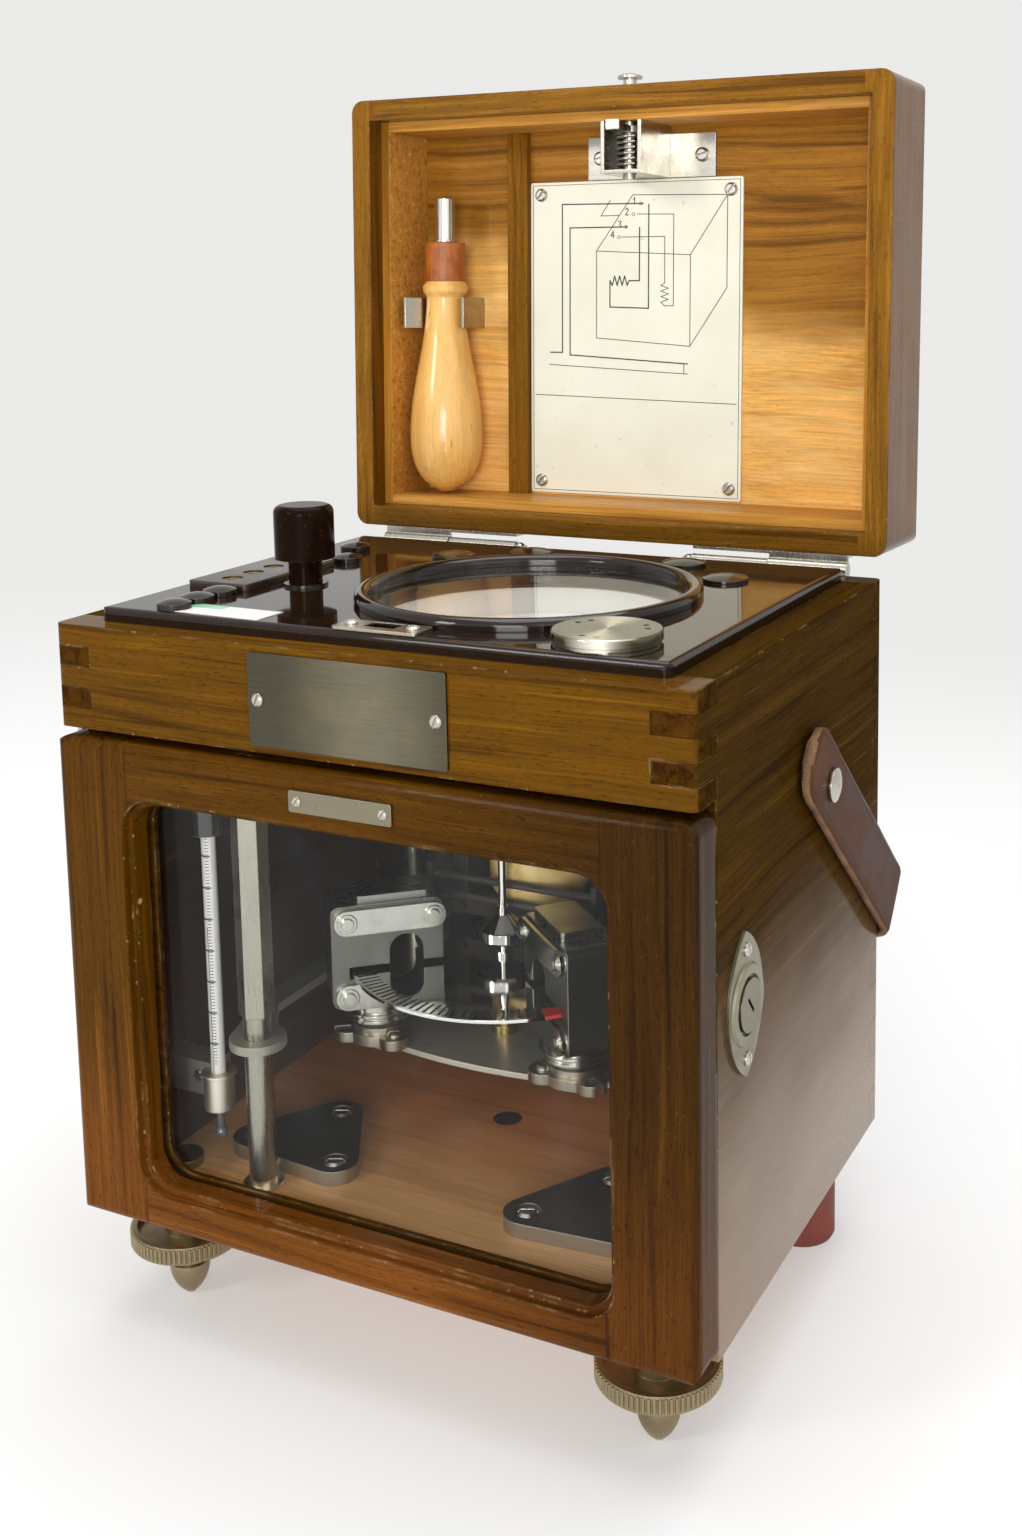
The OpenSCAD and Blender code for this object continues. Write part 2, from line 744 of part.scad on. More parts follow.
bearing_z = 49;
shaft_top = 163;
module rotor_bearings() {
    color("gold") in_case() translate([rotor_x, rotor_y, 0]) difference() {
        union() {
            translate([0, 0, plate_z - 3]) cylinder(r = 4, h = 5 + plate_t);
            translate([0, 0, plate_z + plate_t]) cylinder(r = 5.2, h = 3);
            translate([0, 0, plate_z + plate_t]) cylinder(r = 3.2, h = 8);
            translate([0, 0, bridge_z - 3]) cylinder(r = 4, h = bridge_t + 6);
        }
        translate([0, 0, bearing_z]) cylinder(r = shaft_r + fit, h = 8);
        translate([0, 0, bridge_z - 4]) cylinder(r = shaft_r + fit, h = shaft_top - bridge_z + 5);
    }
}

hub_z = disc_z + disc_t;
module rotor() {
    color("silver") in_case() translate([rotor_x, rotor_y, 0]) {
        translate([0, 0, disc_z]) cylinder(r = disc_r, h = disc_t, $fn = 128);
        translate([0, 0, bearing_z + rise_gap]) cylinder(r = shaft_r, h = shaft_top - bearing_z - rise_gap);
        translate([0, 0, disc_z - 9]) cylinder(r = 2.6, h = 9);
        translate([0, 0, hub_z]) cylinder(r = 3.4, h = 1.6);
        translate([0, 0, hub_z + 6]) cylinder(r1 = 8.4, r2 = 9.6, h = 1);
        translate([0, 0, hub_z + 7]) cylinder(r = 9.6, h = 3.4);
        translate([0, 0, hub_z + 10.4]) cylinder(r1 = 8.6, r2 = 2.6, h = 4.6);
        translate([0, 0, hub_z + 15]) cylinder(r = 2, h = 3);
        for (k = [0 : 7]) translate([0, 0, 140 + k * 1.6]) cylinder(r1 = 3, r2 = 2.2, h = 0.8);
        for (k = [0 : 7]) translate([0, 0, 140.8 + k * 1.6]) cylinder(r1 = 2.2, r2 = 3, h = 0.8);
    }
}

// A copy turned over for the other side
module sided(s) {
    if (s > 0) children();
    else mirror([1, 0, 0]) children();
}

// Brake magnets: each a jaw over the disc's edge, on a turntable and a lobed foot
magnet_dx = 39;
magnet_dy = 22;
magnet_turn = atan2(magnet_dy, magnet_dx);
magnet_reach = sqrt(magnet_dx * magnet_dx + magnet_dy * magnet_dy);
jaw_gap = 1.6;
turntable_z = 53;
foot_plate_z = plate_z + plate_t;
yoke_z0 = 59;
yoke_z1 = 96;
magnet_skew = 12;
yoke_back = magnet_reach * cos(magnet_skew) - disc_r - 1;
yoke_front = 22;

// Pair of link plates with round ends beside the yoke, and the pins through them
module link_pair(z) {
    for (s = [-1, 1])
        translate([(yoke_back - 5 + yoke_front + 1) / 2, s * 10.3, z]) rotate([90, 0, 0])
            linear_extrude(2.2, center = true) soft_rect(yoke_front + 6 - yoke_back, 9, 4.4);
    for (x = [yoke_back - 0.5, yoke_front - 3.5]) translate([x, 0, z]) rotate([90, 0, 0]) {
        cylinder(r = 2.2, h = 25.6, center = true);
        cylinder(r = 3.4, h = 23.6, center = true);
    }
}

module magnet() {
    translate([0, 0, turntable_z]) difference() {
        cylinder(r = 12.6, h = 3);
        translate([0, 0, 1.1]) rotate_extrude() translate([11.8, 0]) square([2, 0.9]);
    }
    translate([0, 0, turntable_z + 2.8]) cylinder(r = 11, h = yoke_z0 - turntable_z - 1);
    // Bow at the back with an arm over and one under the disc, each with two pole shoes and an arch between
    rotate([90, 0, 0]) linear_extrude(18.6, center = true) difference() {
        translate([(yoke_back - 6 + yoke_front) / 2, (yoke_z0 + yoke_z1) / 2])
            soft_rect(yoke_front - yoke_back + 6, yoke_z1 - yoke_z0, 3);
        translate([yoke_back, disc_z - jaw_gap]) square([50, disc_t + 2 * jaw_gap]);
        translate([9, disc_z + 4.5]) soft_rect(12, 17, 5.9);
    }
    link_pair(disc_z - jaw_gap - 5.9);
    link_pair(yoke_z1 - 5.5);
    translate([5, 0, yoke_z1 - 0.5]) linear_extrude(3) soft_rect(26, 15, 1.5);
}

module magnet_left() {
    color("silver") in_case()
        translate([rotor_x - magnet_dx, rotor_y - magnet_dy, 0]) rotate([0, 0, magnet_turn + magnet_skew]) magnet();
}

module magnet_right() {
    color("silver") in_case()
        translate([rotor_x + magnet_dx, rotor_y - magnet_dy, 0]) rotate([0, 0, 180 - magnet_turn - magnet_skew]) magnet();
}

module magnet_base() {
    difference() {
        linear_extrude(3.6) difference() {
            union() {
                circle(r = 11);
                for (a = [215, 330, 90]) rotate([0, 0, a]) translate([11, 0]) circle(r = 5.2);
                rotate([0, 0, 215]) translate([0, -5.2]) square([11, 10.4]);
                rotate([0, 0, 330]) translate([0, -5.2]) square([11, 10.4]);
                rotate([0, 0, 90]) translate([0, -5.2]) square([11, 10.4]);
            }
            rotate([0, 0, 215]) translate([10, -1.3]) square([10, 2.6]);
        }
        rotate([0, 0, 330]) translate([11, 0, -1]) cylinder(r = 1.6, h = 6);
    }
    translate([0, 0, 3.6]) cylinder(r = 9, h = 2.2);
    translate([0, 0, 5.8]) cylinder(r = 6.5, h = turntable_z - foot_plate_z - 5.8, $fn = 6);
    translate([0, 0, -plate_t - 3]) cylinder(r = 2, h = plate_t + 3);
    rotate([0, 0, 330]) translate([11, 0, 3.6]) screw(2.4, 1.4, 1.6, 3.6, 60);
}

module magnet_bases() {
    color("antiquewhite") in_case() for (s = [-1, 1])
        translate([rotor_x + s * magnet_dx, rotor_y - magnet_dy, foot_plate_z])
            sided(-s) magnet_base();
}

// Voltage magnet above the disc: laminated frame, taped coil on its middle limb
coil_x = 0;
coil_y = 121;
coil_r = 18.5;
coil_z0 = 85;
coil_z1 = 132;
core_w = 66;
core_t = 16;
core_z0 = 77;
core_z1 = 141;
limb_w = 14;
module shunt_core() {
    color("dimgray") in_case() translate([coil_x, 0, 0]) {
        difference() {
            from_front(coil_y - core_t / 2, coil_y + core_t / 2) difference() {
                translate([0, (core_z0 + core_z1) / 2]) square([core_w, core_z1 - core_z0], center = true);
                for (s = [-1, 1])
                    translate([s * (core_w / 4 + limb_w / 4 - 3.5), (core_z0 + core_z1) / 2])
                        square([core_w / 2 - limb_w / 2 - 7, core_z1 - core_z0 - 14], center = true);
            }
            for (s = [-1, 1], z = [core_z0 + 3.5, core_z1 - 3.5])
                translate([s * (core_w / 2 - 3.5), 0, z]) rotate([90, 0, 0]) cylinder(r = 1.6, h = 400, center = true);
        }
        translate([-5, coil_y - core_t / 2, disc_z + disc_t + jaw_gap])
            cube([10, core_t, core_z0 - disc_z - disc_t - jaw_gap]);
        for (s = [-1, 1], z = [core_z0 + 3.5, core_z1 - 3.5]) translate([s * (core_w / 2 - 3.5), 0, z]) {
            rotate([90, 0, 0]) translate([0, 0, -plate_back_y])
                cylinder(r = 1.6, h = plate_back_y - coil_y + core_t / 2 + 3);
            rotate([90, 0, 0]) translate([0, 0, -coil_y + core_t / 2]) cylinder(r = 3.2, h = 2.4, $fn = 6);
            rotate([90, 0, 0]) translate([0, 0, -plate_back_y])
                cylinder(r = 3, h = plate_back_y - coil_y - core_t / 2);
        }
        for (z = [core_z0 + 12.5, core_z0 + 19.5])
            translate([-core_w / 2, coil_y - coil_r - 2.4, z]) rotate([0, 90, 0]) cylinder(r = 1.4, h = core_w);
        for (s = [-1, 1])
            translate([s * core_w / 2 - 1, coil_y - coil_r - 5, core_z0])
                cube([2, coil_r + 5 - core_t / 2, 24]);
    }
}

module shunt_coil() {
    color("goldenrod") in_case() translate([coil_x, coil_y, 0]) difference() {
        translate([0, 0, (coil_z0 + coil_z1) / 2]) rotate_extrude() intersection() {
            translate([0, -30]) square([40, 60]);
            soft_rect(2 * coil_r, coil_z1 - coil_z0, 9);
        }
        translate([-limb_w / 2, -core_t / 2, coil_z0 - 1]) cube([limb_w, core_t, coil_z1 - coil_z0 + 2]);
    }
}

// Current magnet under the disc: a U core with two coils
module series_magnet() {
    color("peru") in_case() translate([coil_x, coil_y, foot_plate_z]) {
        translate([-22, -7, 0]) cube([44, 14, 6]);
        for (s = [-1, 1]) translate([s * 15, 0, 0]) {
            translate([-4, -5, 0]) cube([8, 10, disc_z - jaw_gap - foot_plate_z]);
            translate([0, 0, 6]) cylinder(r = 9, h = disc_z - jaw_gap - foot_plate_z - 9);
        }
    }
}

// Thermometer in its cup, fixed to the left of the window
thermo_x = 37.5 - case_w / 2;
thermo_y = 26;
thermo_r = 2.5;
module thermometer() {
    color("white") in_case() translate([thermo_x, thermo_y, 0]) {
        translate([0, 0, 33]) cylinder(r = thermo_r, h = 97);
        translate([0, 0, 129]) cylinder(r = 5.5, h = 11);
        translate([0, 0, 140]) cylinder(r = 2, h = panel_foot - 140);
        translate([0, 0, 24]) cylinder(r = 1.3, h = 10);
        translate([0, 0, 23]) sphere(r = 2.1);
    }
}

module thermometer_clip() {
    color("silver") in_case() difference() {
        union() {
            translate([thermo_x, thermo_y, 32]) cylinder(r = 5.2, h = 12);
            translate([thermo_x, thermo_y, 44]) cylinder(r = 6, h = 0.8);
            translate([-inner_x, thermo_y + 1, 34]) cube([thermo_x + inner_x, 1.2, 12]);
            translate([-inner_x, thermo_y + 1, 34]) cube([20, 10, 12]);
        }
        translate([thermo_x, thermo_y, 31]) cylinder(r = thermo_r, h = 20);
        clip_places() screw_hole(shank, shank_deep);
    }
}

// Points of a convex outline, given anticlockwise, that goes round each point on an arc
function bend(p, q, s, r) = let (
    a = atan2(q[1] - p[1], q[0] - p[0]) - 90,
    turn = (atan2(s[1] - q[1], s[0] - q[0]) - 90 - a + 720) % 360
) [for (i = [0 : 12]) q + r * [cos(a + turn * i / 12), sin(a + turn * i / 12)]];
function round_outline(points, r) = let (n = len(points))
    [for (k = [0 : n - 1]) for (p = bend(points[(k + n - 1) % n], points[k], points[(k + 1) % n], r)) p];

// Three-lobed plates screwed to the floor
module floor_plates() {
    color("slategray") in_case() for (s = [-1, 1]) sided(s) difference() {
        translate([0, 0, floor_t]) linear_extrude(floor_plate_t) polygon(round_outline(lobes, 8));
        for (p = lobes) translate([p[0], p[1], floor_t + floor_plate_t - 1.6]) cylinder(r = floor_screw_r + 0.8, h = 3);
        for (p = lobes) translate([p[0], p[1], floor_t - 1]) cylinder(r = shank * 1.5 + seat, h = 8);
    }
}

// Feet

bush_r = 6.5;
bush_flange_r = 9;
screw_r = 4;
module foot_bushes() {
    color("gainsboro") in_case() for (s = [-1, 1]) translate([s * level_x, level_y, 0]) difference() {
        union() {
            translate([0, 0, -1.5]) cylinder(r = bush_flange_r, h = 1.5);
            cylinder(r = bush_r, h = floor_t + 3);
        }
        translate([0, 0, -2]) cylinder(r = screw_r + fit, h = floor_t + 3);
    }
}

// Round foot: a pointed arch turned about Z, with a round tip tangent to it
foot_r = 6.9;
ogive_h = 12;
tip_r = 3;
ogive_a = (ogive_h * ogive_h - foot_r * foot_r) / (2 * foot_r);
tip_slope = atan(ogive_a / ogive_h);
tip_drop = tip_r * (1 / cos(tip_slope) - 1);
knurl_points = [for (k = [0 : knurls - 1]) for (d = [[-0.2, 0], [0.2, 0], [0.5, 0.9]])
    (wheel_r - d[1]) * [cos((k + d[0]) * 360 / knurls), sin((k + d[0]) * 360 / knurls)]];

// Levelling screw with its knurled wheel, dished on top, and its round foot
module level_foot() {
    difference() {
        union() {
            translate([0, 0, wheel_top - wheel_t]) cylinder(r = wheel_r - 0.6, h = wheel_t);
            translate([0, 0, wheel_top - wheel_t + 0.6]) linear_extrude(wheel_t - 1.2) polygon(knurl_points);
        }
        translate([0, 0, wheel_top - 2.6]) cylinder(r = wheel_r - 2.4, h = 3);
    }
    translate([0, 0, wheel_top - wheel_t]) cylinder(r = 8, h = wheel_t + 1);
    translate([0, 0, -26]) cylinder(r = screw_r, h = 26 + floor_t);
    translate([0, 0, -26]) cylinder(r = 5, h = 9);
    translate([0, 0, -foot_h]) {
        rotate_extrude() intersection() {
            translate([0, tip_r * (1 - cos(tip_slope))]) square([foot_r, ogive_h]);
            translate([-ogive_a, ogive_h - tip_drop]) circle(r = ogive_a + foot_r, $fn = 96);
        }
        intersection() {
            translate([0, 0, tip_r]) sphere(r = tip_r);
            cylinder(r = tip_r, h = tip_r * (1 - cos(tip_slope)));
        }
    }
}

module level_foot_left() {
    color("darkkhaki") in_case() translate([-level_x, level_y, 0]) level_foot();
}

module level_foot_right() {
    color("darkkhaki") in_case() translate([level_x, level_y, 0]) level_foot();
}

rear_foot_x = case_w / 2 - 21.5;
rear_foot_y = case_d - 24;
module rear_feet() {
    color("firebrick") in_case() for (s = [-1, 1]) translate([s * rear_foot_x, rear_foot_y, -foot_h]) difference() {
        union() {
            cylinder(r1 = rubber_r - 0.8, r2 = rubber_r, h = 1.5);
            translate([0, 0, 1.5]) cylinder(r = rubber_r, h = foot_h - 1.5);
        }
        translate([0, 0, -1]) cylinder(r = 4, h = 9);
    }
}

// Hinge leaves for the lid, on the outer faces of the case's back and the lid's back wall, and for the door

knuckle_r = 2.4;
hinge_pin_r = 1.2;
mid_knuckle = 20;
// Half barrel along X about the origin, towards the side s
half_knuckle = (lid_hinge_l - rise_gap) / 2;
module half_barrel(s, r) {
    translate([s * (lid_hinge_l - half_knuckle) / 2, 0, 0]) rotate([0, 90, 0]) cylinder(r = r, h = half_knuckle, center = true);
}

door_pin_x = -case_w / 2 - 2.1;
door_pin_y = board_y - door_gap / 2;
door_knuckle_r = 1.7;
door_pin_r = 0.8;
door_mid = 12;
// The leaf let into the front edge of the left side board
module door_hinge_case_leaf() {
    for (z = door_hinge_z) translate([door_pin_x, board_y, z]) cube([door_leaf_w + 2.1, door_leaf_t, door_hinge_l]);
}

module case_hinge_leaves() {
    color("silver") in_case() {
        for (s = [-1, 1]) translate([s * lid_hinge_x, pin_y, pin_z]) {
            half_barrel(-s, knuckle_r);
            translate([-s * 2, 0, 0]) rotate([0, 90, 0]) cylinder(r = hinge_pin_r, h = lid_hinge_l + 4, center = true);
            translate([-s * (lid_hinge_l / 2 + 1.6), 0, 0]) sphere(r = hinge_pin_r + 0.9);
            translate([-lid_hinge_l / 2, -pin_out, -pin_up - leaf_w]) cube([lid_hinge_l, leaf_t, leaf_w - 0.4]);
            translate([-s * (lid_hinge_l - half_knuckle) / 2 - half_knuckle / 2, -pin_out, -pin_up - 1.6])
                cube([half_knuckle, pin_out, 1.2]);
        }
        difference() {
            union() {
                door_hinge_case_leaf();
                for (z = door_hinge_z) translate([door_pin_x, door_pin_y, z]) cylinder(r = door_knuckle_r, h = door_hinge_l);
            }
            for (z = door_hinge_z) translate([door_pin_x, door_pin_y, z + door_hinge_l / 2])
                cube([2 * door_knuckle_r + 0.8, 2 * door_knuckle_r + 0.8, door_mid + 2 * rise_gap], center = true);
        }
        for (z = door_hinge_z) translate([door_pin_x, door_pin_y, z - 0.8]) cylinder(r = door_pin_r, h = door_hinge_l + 1.6);
    }
}

module lid_hinge_leaves() {
    color("silver") in_lid() translate([0, 0, pin_z - case_h - lid_gap])
        for (s = [-1, 1]) translate([s * lid_hinge_x, pin_y, 0]) {
            difference() {
                union() {
                    half_barrel(s, knuckle_r + 0.5);
                    translate([s * (lid_hinge_l - half_knuckle) / 2 - half_knuckle / 2, -pin_out, lid_gap - pin_up + 0.4])
                        cube([half_knuckle, pin_out, 1.2]);
                }
                rotate([0, 90, 0]) cylinder(r = hinge_pin_r + fit, h = lid_hinge_l + 9, center = true);
            }
            translate([-lid_hinge_l / 2, -pin_out, lid_gap - pin_up + 0.4]) cube([lid_hinge_l, leaf_t, leaf_w - 0.4]);
        }
}

// Door

module door_outline_cut(y0, y1, w, h, r) {
    from_front(y0, y1) translate([0, win_z]) soft_rect(w, h, r);
}

glass_y = -door_proud + reveal;
bead_y = glass_y + glass_t + seat;
rebate_w = win_w + 2 * glass_lap;
rebate_h = win_h + 2 * glass_lap;
rebate_r = 3;
module door_frame() {
    color("sienna") in_case() difference() {
        translate([0, door_t - door_proud, (door_z0 + door_z1) / 2])
            rotate([90, 0, 0]) soft_board(case_w, door_z1 - door_z0, door_t, door_corner, edge_r);
        door_outline_cut(-door_proud - 1, door_t, win_w, win_h, win_r);
        door_outline_cut(-door_proud - 1, -door_proud + 3.2, win_w + 4, win_h + 4, win_r + 2);
        door_outline_cut(glass_y, door_t, rebate_w, rebate_h, rebate_r);
        badge_places() screw_hole(badge_shank, 4);
        door_leaf_beds();
    }
}

module door_glass() {
    color([0.8, 0.9, 0.9, 0.25]) in_case()
        door_outline_cut(glass_y, glass_y + glass_t, rebate_w - 2 * seat, rebate_h - 2 * seat, rebate_r);
}

module door_bead() {
    color("sienna") in_case() difference() {
        door_outline_cut(bead_y, door_t - door_proud, rebate_w, rebate_h, rebate_r);
        door_outline_cut(bead_y - 1, door_t, win_w, win_h, win_r);
    }
}

module number_plate() {
    color("silver") in_case() difference() {
        from_front(-door_proud - badge_t, -door_proud) translate([badge_x, badge_z]) soft_rect(badge_w, badge_h, 0.8);
        badge_places() screw_hole(badge_shank, 4);
    }
}

// Bed of the door's leaf in the back of the frame
module door_leaf_beds() {
    for (z = door_hinge_z)
        translate([-case_w / 2 - 5, door_t - door_proud - door_leaf_t, z]) cube([door_leaf_w + 5, door_leaf_t + 1, door_hinge_l]);
}

keeper_x = cam_x - 2;
keeper_back = lock_y - 8.1;
// Hinge leaves and the lock's keeper on the back of the door
module door_hinge_leaves() {
    color("silver") in_case() {
        difference() {
            for (z = door_hinge_z) {
                translate([-case_w / 2, door_t - door_proud - door_leaf_t, z]) cube([door_leaf_w, door_leaf_t, door_hinge_l]);
                translate([door_pin_x, door_t - door_proud - door_leaf_t, z + (door_hinge_l - door_mid) / 2])
                    cube([5, door_leaf_t, door_mid]);
                translate([door_pin_x, door_pin_y, z + (door_hinge_l - door_mid) / 2]) cylinder(r = door_knuckle_r, h = door_mid);
            }
            for (z = door_hinge_z) translate([door_pin_x, door_pin_y, z - 2]) cylinder(r = door_pin_r + fit, h = door_hinge_l + 4);
        }
        translate([keeper_x, door_t - door_proud, lock_z - 16]) cube([inner_x - 1.5 - keeper_x, 1.5, 16]);
        translate([keeper_x, door_t - door_proud, lock_z - 12]) cube([1.6, keeper_back - door_t + door_proud, 6]);
        translate([keeper_x, keeper_back - 2.2, lock_z - 12]) cube([3.6, 2.2, 6]);
        badge_places() screw(small_r * 0.8, head_rise, badge_shank, 4, 60);
    }
}

// Lid

module lid_shell() {
    color("sienna") in_lid() difference() {
        translate([0, case_d / 2, 0]) soft_board(case_w, case_d, lid_t, door_corner, edge_r);
        translate([0, case_d / 2, -1])
            linear_extrude(lid_t - lid_top + 1) soft_rect(case_w - 2 * lid_wall, case_d - 2 * lid_wall, 0.5);
        translate([latch_x, -1, latch_t]) rotate([-90, 0, 0]) cylinder(r = plunger_r + seat, h = lid_wall + 2);
    }
}

inside_w = case_w - 2 * lid_wall - 2 * lining_t;
inside_d = case_d - 2 * lid_wall - 2 * lining_t;
lid_floor = lid_t - lid_top;
module lid_lining() {
    color("tan") in_lid() difference() {
        translate([0, case_d / 2, lining_set]) linear_extrude(lid_floor - lining_set)
            soft_rect(case_w - 2 * lid_wall, case_d - 2 * lid_wall, 0.5);
        translate([0, case_d / 2, lining_set - 1]) linear_extrude(lid_t) square([inside_w, inside_d], center = true);
        translate([latch_x, -1, latch_t]) rotate([-90, 0, 0]) cylinder(r = plunger_r + seat, h = 20);
    }
}

module lid_divider() {
    color("peru") in_lid()
        translate([-divider_x - divider_w / 2, case_d / 2 - inside_d / 2, lid_floor - divider_h])
            cube([divider_w, inside_d, divider_h]);
}

diagram_x = -divider_x + divider_w / 2 + 0.5 + diagram_w / 2;
diagram_y = case_d / 2 + inside_d / 2 - 0.8 - diagram_h / 2;
module diagram_places() {
    for (sx = [-1, 1], sy = [-1, 1])
        translate([diagram_x + sx * (diagram_w / 2 - 5), diagram_y + sy * (diagram_h / 2 - 5), lid_floor - diagram_t])
            rotate([180, 0, 0]) children();
}

module diagram_plate() {
    color("ivory") in_lid() difference() {
        translate([diagram_x, diagram_y, lid_floor - diagram_t]) linear_extrude(diagram_t) soft_rect(diagram_w, diagram_h, 1);
        diagram_places() screw_hole(shank, diagram_t + 0.5);
    }
}

latch_base_places = [-22, 22];
module lid_screws() {
    color("silver") in_lid() {
        diagram_places() screw(2.6, 1.3, shank, diagram_t, 50);
        for (x = latch_base_places) translate([latch_x + x, latch_y0 + 11.5, lid_floor - latch_plate_t])
            rotate([180, 0, 0]) screw(2.8, 1.4, shank, latch_plate_t, 15);
    }
}

// Latch inside the lid's front: base plate, open bracket and the lens-shaped flange outside
latch_t = 17;
latch_y0 = lid_wall + lining_t;
latch_plate_t = 1.5;
plunger_r = 2.6;
bracket_w = 17;
bracket_l = 20;
bracket_front = 8.5;
wall_t = 1.5;
button_r = 4.8;
latch_press = 3;
module latch_base() {
    color("lightsteelblue") in_lid() translate([latch_x, 0, 0]) difference() {
        union() {
            translate([-27.5, latch_y0 + 3, lid_floor - latch_plate_t]) cube([55, 17, latch_plate_t]);
            translate([-bracket_w / 2, latch_y0, bracket_front])
                cube([bracket_w, bracket_l, lid_floor - latch_plate_t - bracket_front]);
            translate([0, 0, latch_t]) rotate([90, 0, 0]) linear_extrude(0.9) intersection() {
                translate([0, -18.4]) circle(r = 23, $fn = 96);
                translate([0, 18.4]) circle(r = 23, $fn = 96);
            }
        }
        translate([-bracket_w / 2 + wall_t, latch_y0 - 1, bracket_front - 1])
            cube([bracket_w - 2 * wall_t, bracket_l - wall_t + 1, lid_floor - latch_plate_t - bracket_front - 0.5]);
        translate([0, -2, latch_t]) rotate([-90, 0, 0]) cylinder(r = plunger_r + fit, h = bracket_l + latch_y0 + 10);
        for (x = latch_base_places)
            translate([x, latch_y0 + 11.5, lid_floor - latch_plate_t]) rotate([180, 0, 0]) screw_hole(shank, latch_plate_t);
    }
}

// Button, plunger and hook: one piece that slides when the button is pressed
collar_y = hook_y + 1.4;
hook_drop = 3.8;
module latch_button() {
    color("silver") in_lid() translate([latch_x, 0, 0]) {
        translate([0, -latch_press - 1.3, latch_t]) rotate([90, 0, 0]) round_cap(button_r, 2.2);
        translate([0, -latch_press - 1.3, latch_t]) rotate([-90, 0, 0])
            cylinder(r = plunger_r, h = latch_press + latch_y0 + bracket_l + 1.3 - 0.6 + 2.5);
        translate([0, collar_y - 2.6, latch_t]) rotate([-90, 0, 0]) cylinder(r = 6, h = 2.6);
        translate([-2.8, hook_y - 1.2, hook_drop - 3]) cube([5.6, 2.4, latch_t - hook_drop + 3]);
        translate([-2.8, hook_y - 2.6, hook_drop - 3]) cube([5.6, 3.8, 1.2]);
    }
}

// A tube along a coil about Z, from z = 0, as rings of six sides
spring_turns = 6;
spring_r = 4.9;
wire_r = 0.55;
spring_l = latch_y0 + bracket_l - wall_t - collar_y - 2 * wire_r - 0.4;
rings_per_turn = 8;
spring_pitch = spring_l / spring_turns;
echo(least_gap_of_spring = spring_pitch - 2 * wire_r);
function coil_ring(k) = let (
    a = k * 360 / rings_per_turn,
    z = wire_r + k * spring_l / (spring_turns * rings_per_turn)
) [for (j = [0 : 5]) let (b = j * 60)
    [(spring_r + wire_r * cos(b)) * cos(a), (spring_r + wire_r * cos(b)) * sin(a), z + wire_r * sin(b)]];

module coil_spring() {
    n = spring_turns * rings_per_turn;
    points = [for (k = [0 : n]) for (p = coil_ring(k)) p];
    sides = [for (k = [0 : n - 1]) for (j = [0 : 5]) for (f = [
        [6 * k + j, 6 * k + 6 + j, 6 * k + 6 + (j + 1) % 6],
        [6 * k + j, 6 * k + 6 + (j + 1) % 6, 6 * k + (j + 1) % 6]
    ]) f];
    start = [for (j = [1 : 4]) [0, j, j + 1]];
    finish = [for (j = [1 : 4]) [6 * n, 6 * n + j + 1, 6 * n + j]];
    polyhedron(points = points, faces = concat(sides, start, finish), convexity = 10);
}

module latch_spring() {
    color("gainsboro") in_lid() translate([latch_x, collar_y + 0.2, latch_t]) rotate([-90, 0, 0]) coil_spring();
}

// Tool and its spring clip

tool_x = 29.5 - case_w / 2;
tool_t = lid_floor - belly_r - 0.4;
tool_v = 1;
tool_y = case_d / 2 + inside_d / 2 - tool_v;
clip_s = handle_l - 13;
clip_l = 12.5;
belly_at = 0.27;
grip_r = handle_radius((clip_s - clip_l / 2) / handle_l) + 0.3;

// Radius of the handle at a share of its length: a full belly near the butt, then a long waist
function handle_radius(s) =
    s < belly_at ? belly_r * sqrt(max(0.04, 1 - pow(1 - s / belly_at, 2.4)))
    : s < 0.93 ? neck_r + (belly_r - neck_r) * (1 + cos(180 * (s - belly_at) / (0.93 - belly_at))) / 2
    : neck_r + 1.7 * sin(180 * (s - 0.93) / 0.07);

module tool_handle() {
    steps = 40;
    color("burlywood") in_lid() translate([tool_x, tool_y, tool_t]) rotate([90, 0, 0]) difference() {
        rotate_extrude($fn = 48) polygon(concat(
            [[0, 0]],
            [for (k = [0 : steps]) [handle_radius(k / steps), handle_l * k / steps]],
            [[0, handle_l]]
        ));
        translate([0, 0, handle_l - 14]) cylinder(r = 4, h = 20);
    }
}

collar_l = 15.5;
nose_len = 18;
module tool_shank() {
    color("brown") in_lid() translate([tool_x, tool_y, tool_t]) rotate([90, 0, 0]) {
        translate([0, 0, handle_l - 14]) cylinder(r = 4, h = 14 + collar_l);
        translate([0, 0, handle_l]) cylinder(r = 8.2, h = collar_l);
        difference() {
            union() {
                translate([0, 0, handle_l + collar_l]) cylinder(r = 5, h = 1.2);
                translate([0, 0, handle_l + collar_l]) cylinder(r = 4.2, h = nose_len);
            }
            translate([0, 0, handle_l + collar_l + nose_len - 8]) cylinder(r = 2.6, h = 10);
        }
    }
}

// Clip bent from one strip: a base on the lid, two jaws and their lips
jaw = grip_r + 0.5;
lip = 4.4;
jaw_side = [
    [jaw - 0.5, lid_floor - 1], [jaw - 0.5, tool_t - 4], [jaw + lip - 0.5, tool_t - 10],
    [jaw + lip + 0.5, tool_t - 10], [jaw + 0.5, tool_t - 4], [jaw + 0.5, lid_floor]
];
module tool_clip() {
    n = len(jaw_side);
    color("silver") in_lid() translate([tool_x, tool_y - clip_s, 0]) from_front(-clip_l / 2, clip_l / 2)
        polygon(concat(jaw_side, [for (k = [1 : n]) [-jaw_side[n - k][0], jaw_side[n - k][1]]]));
}

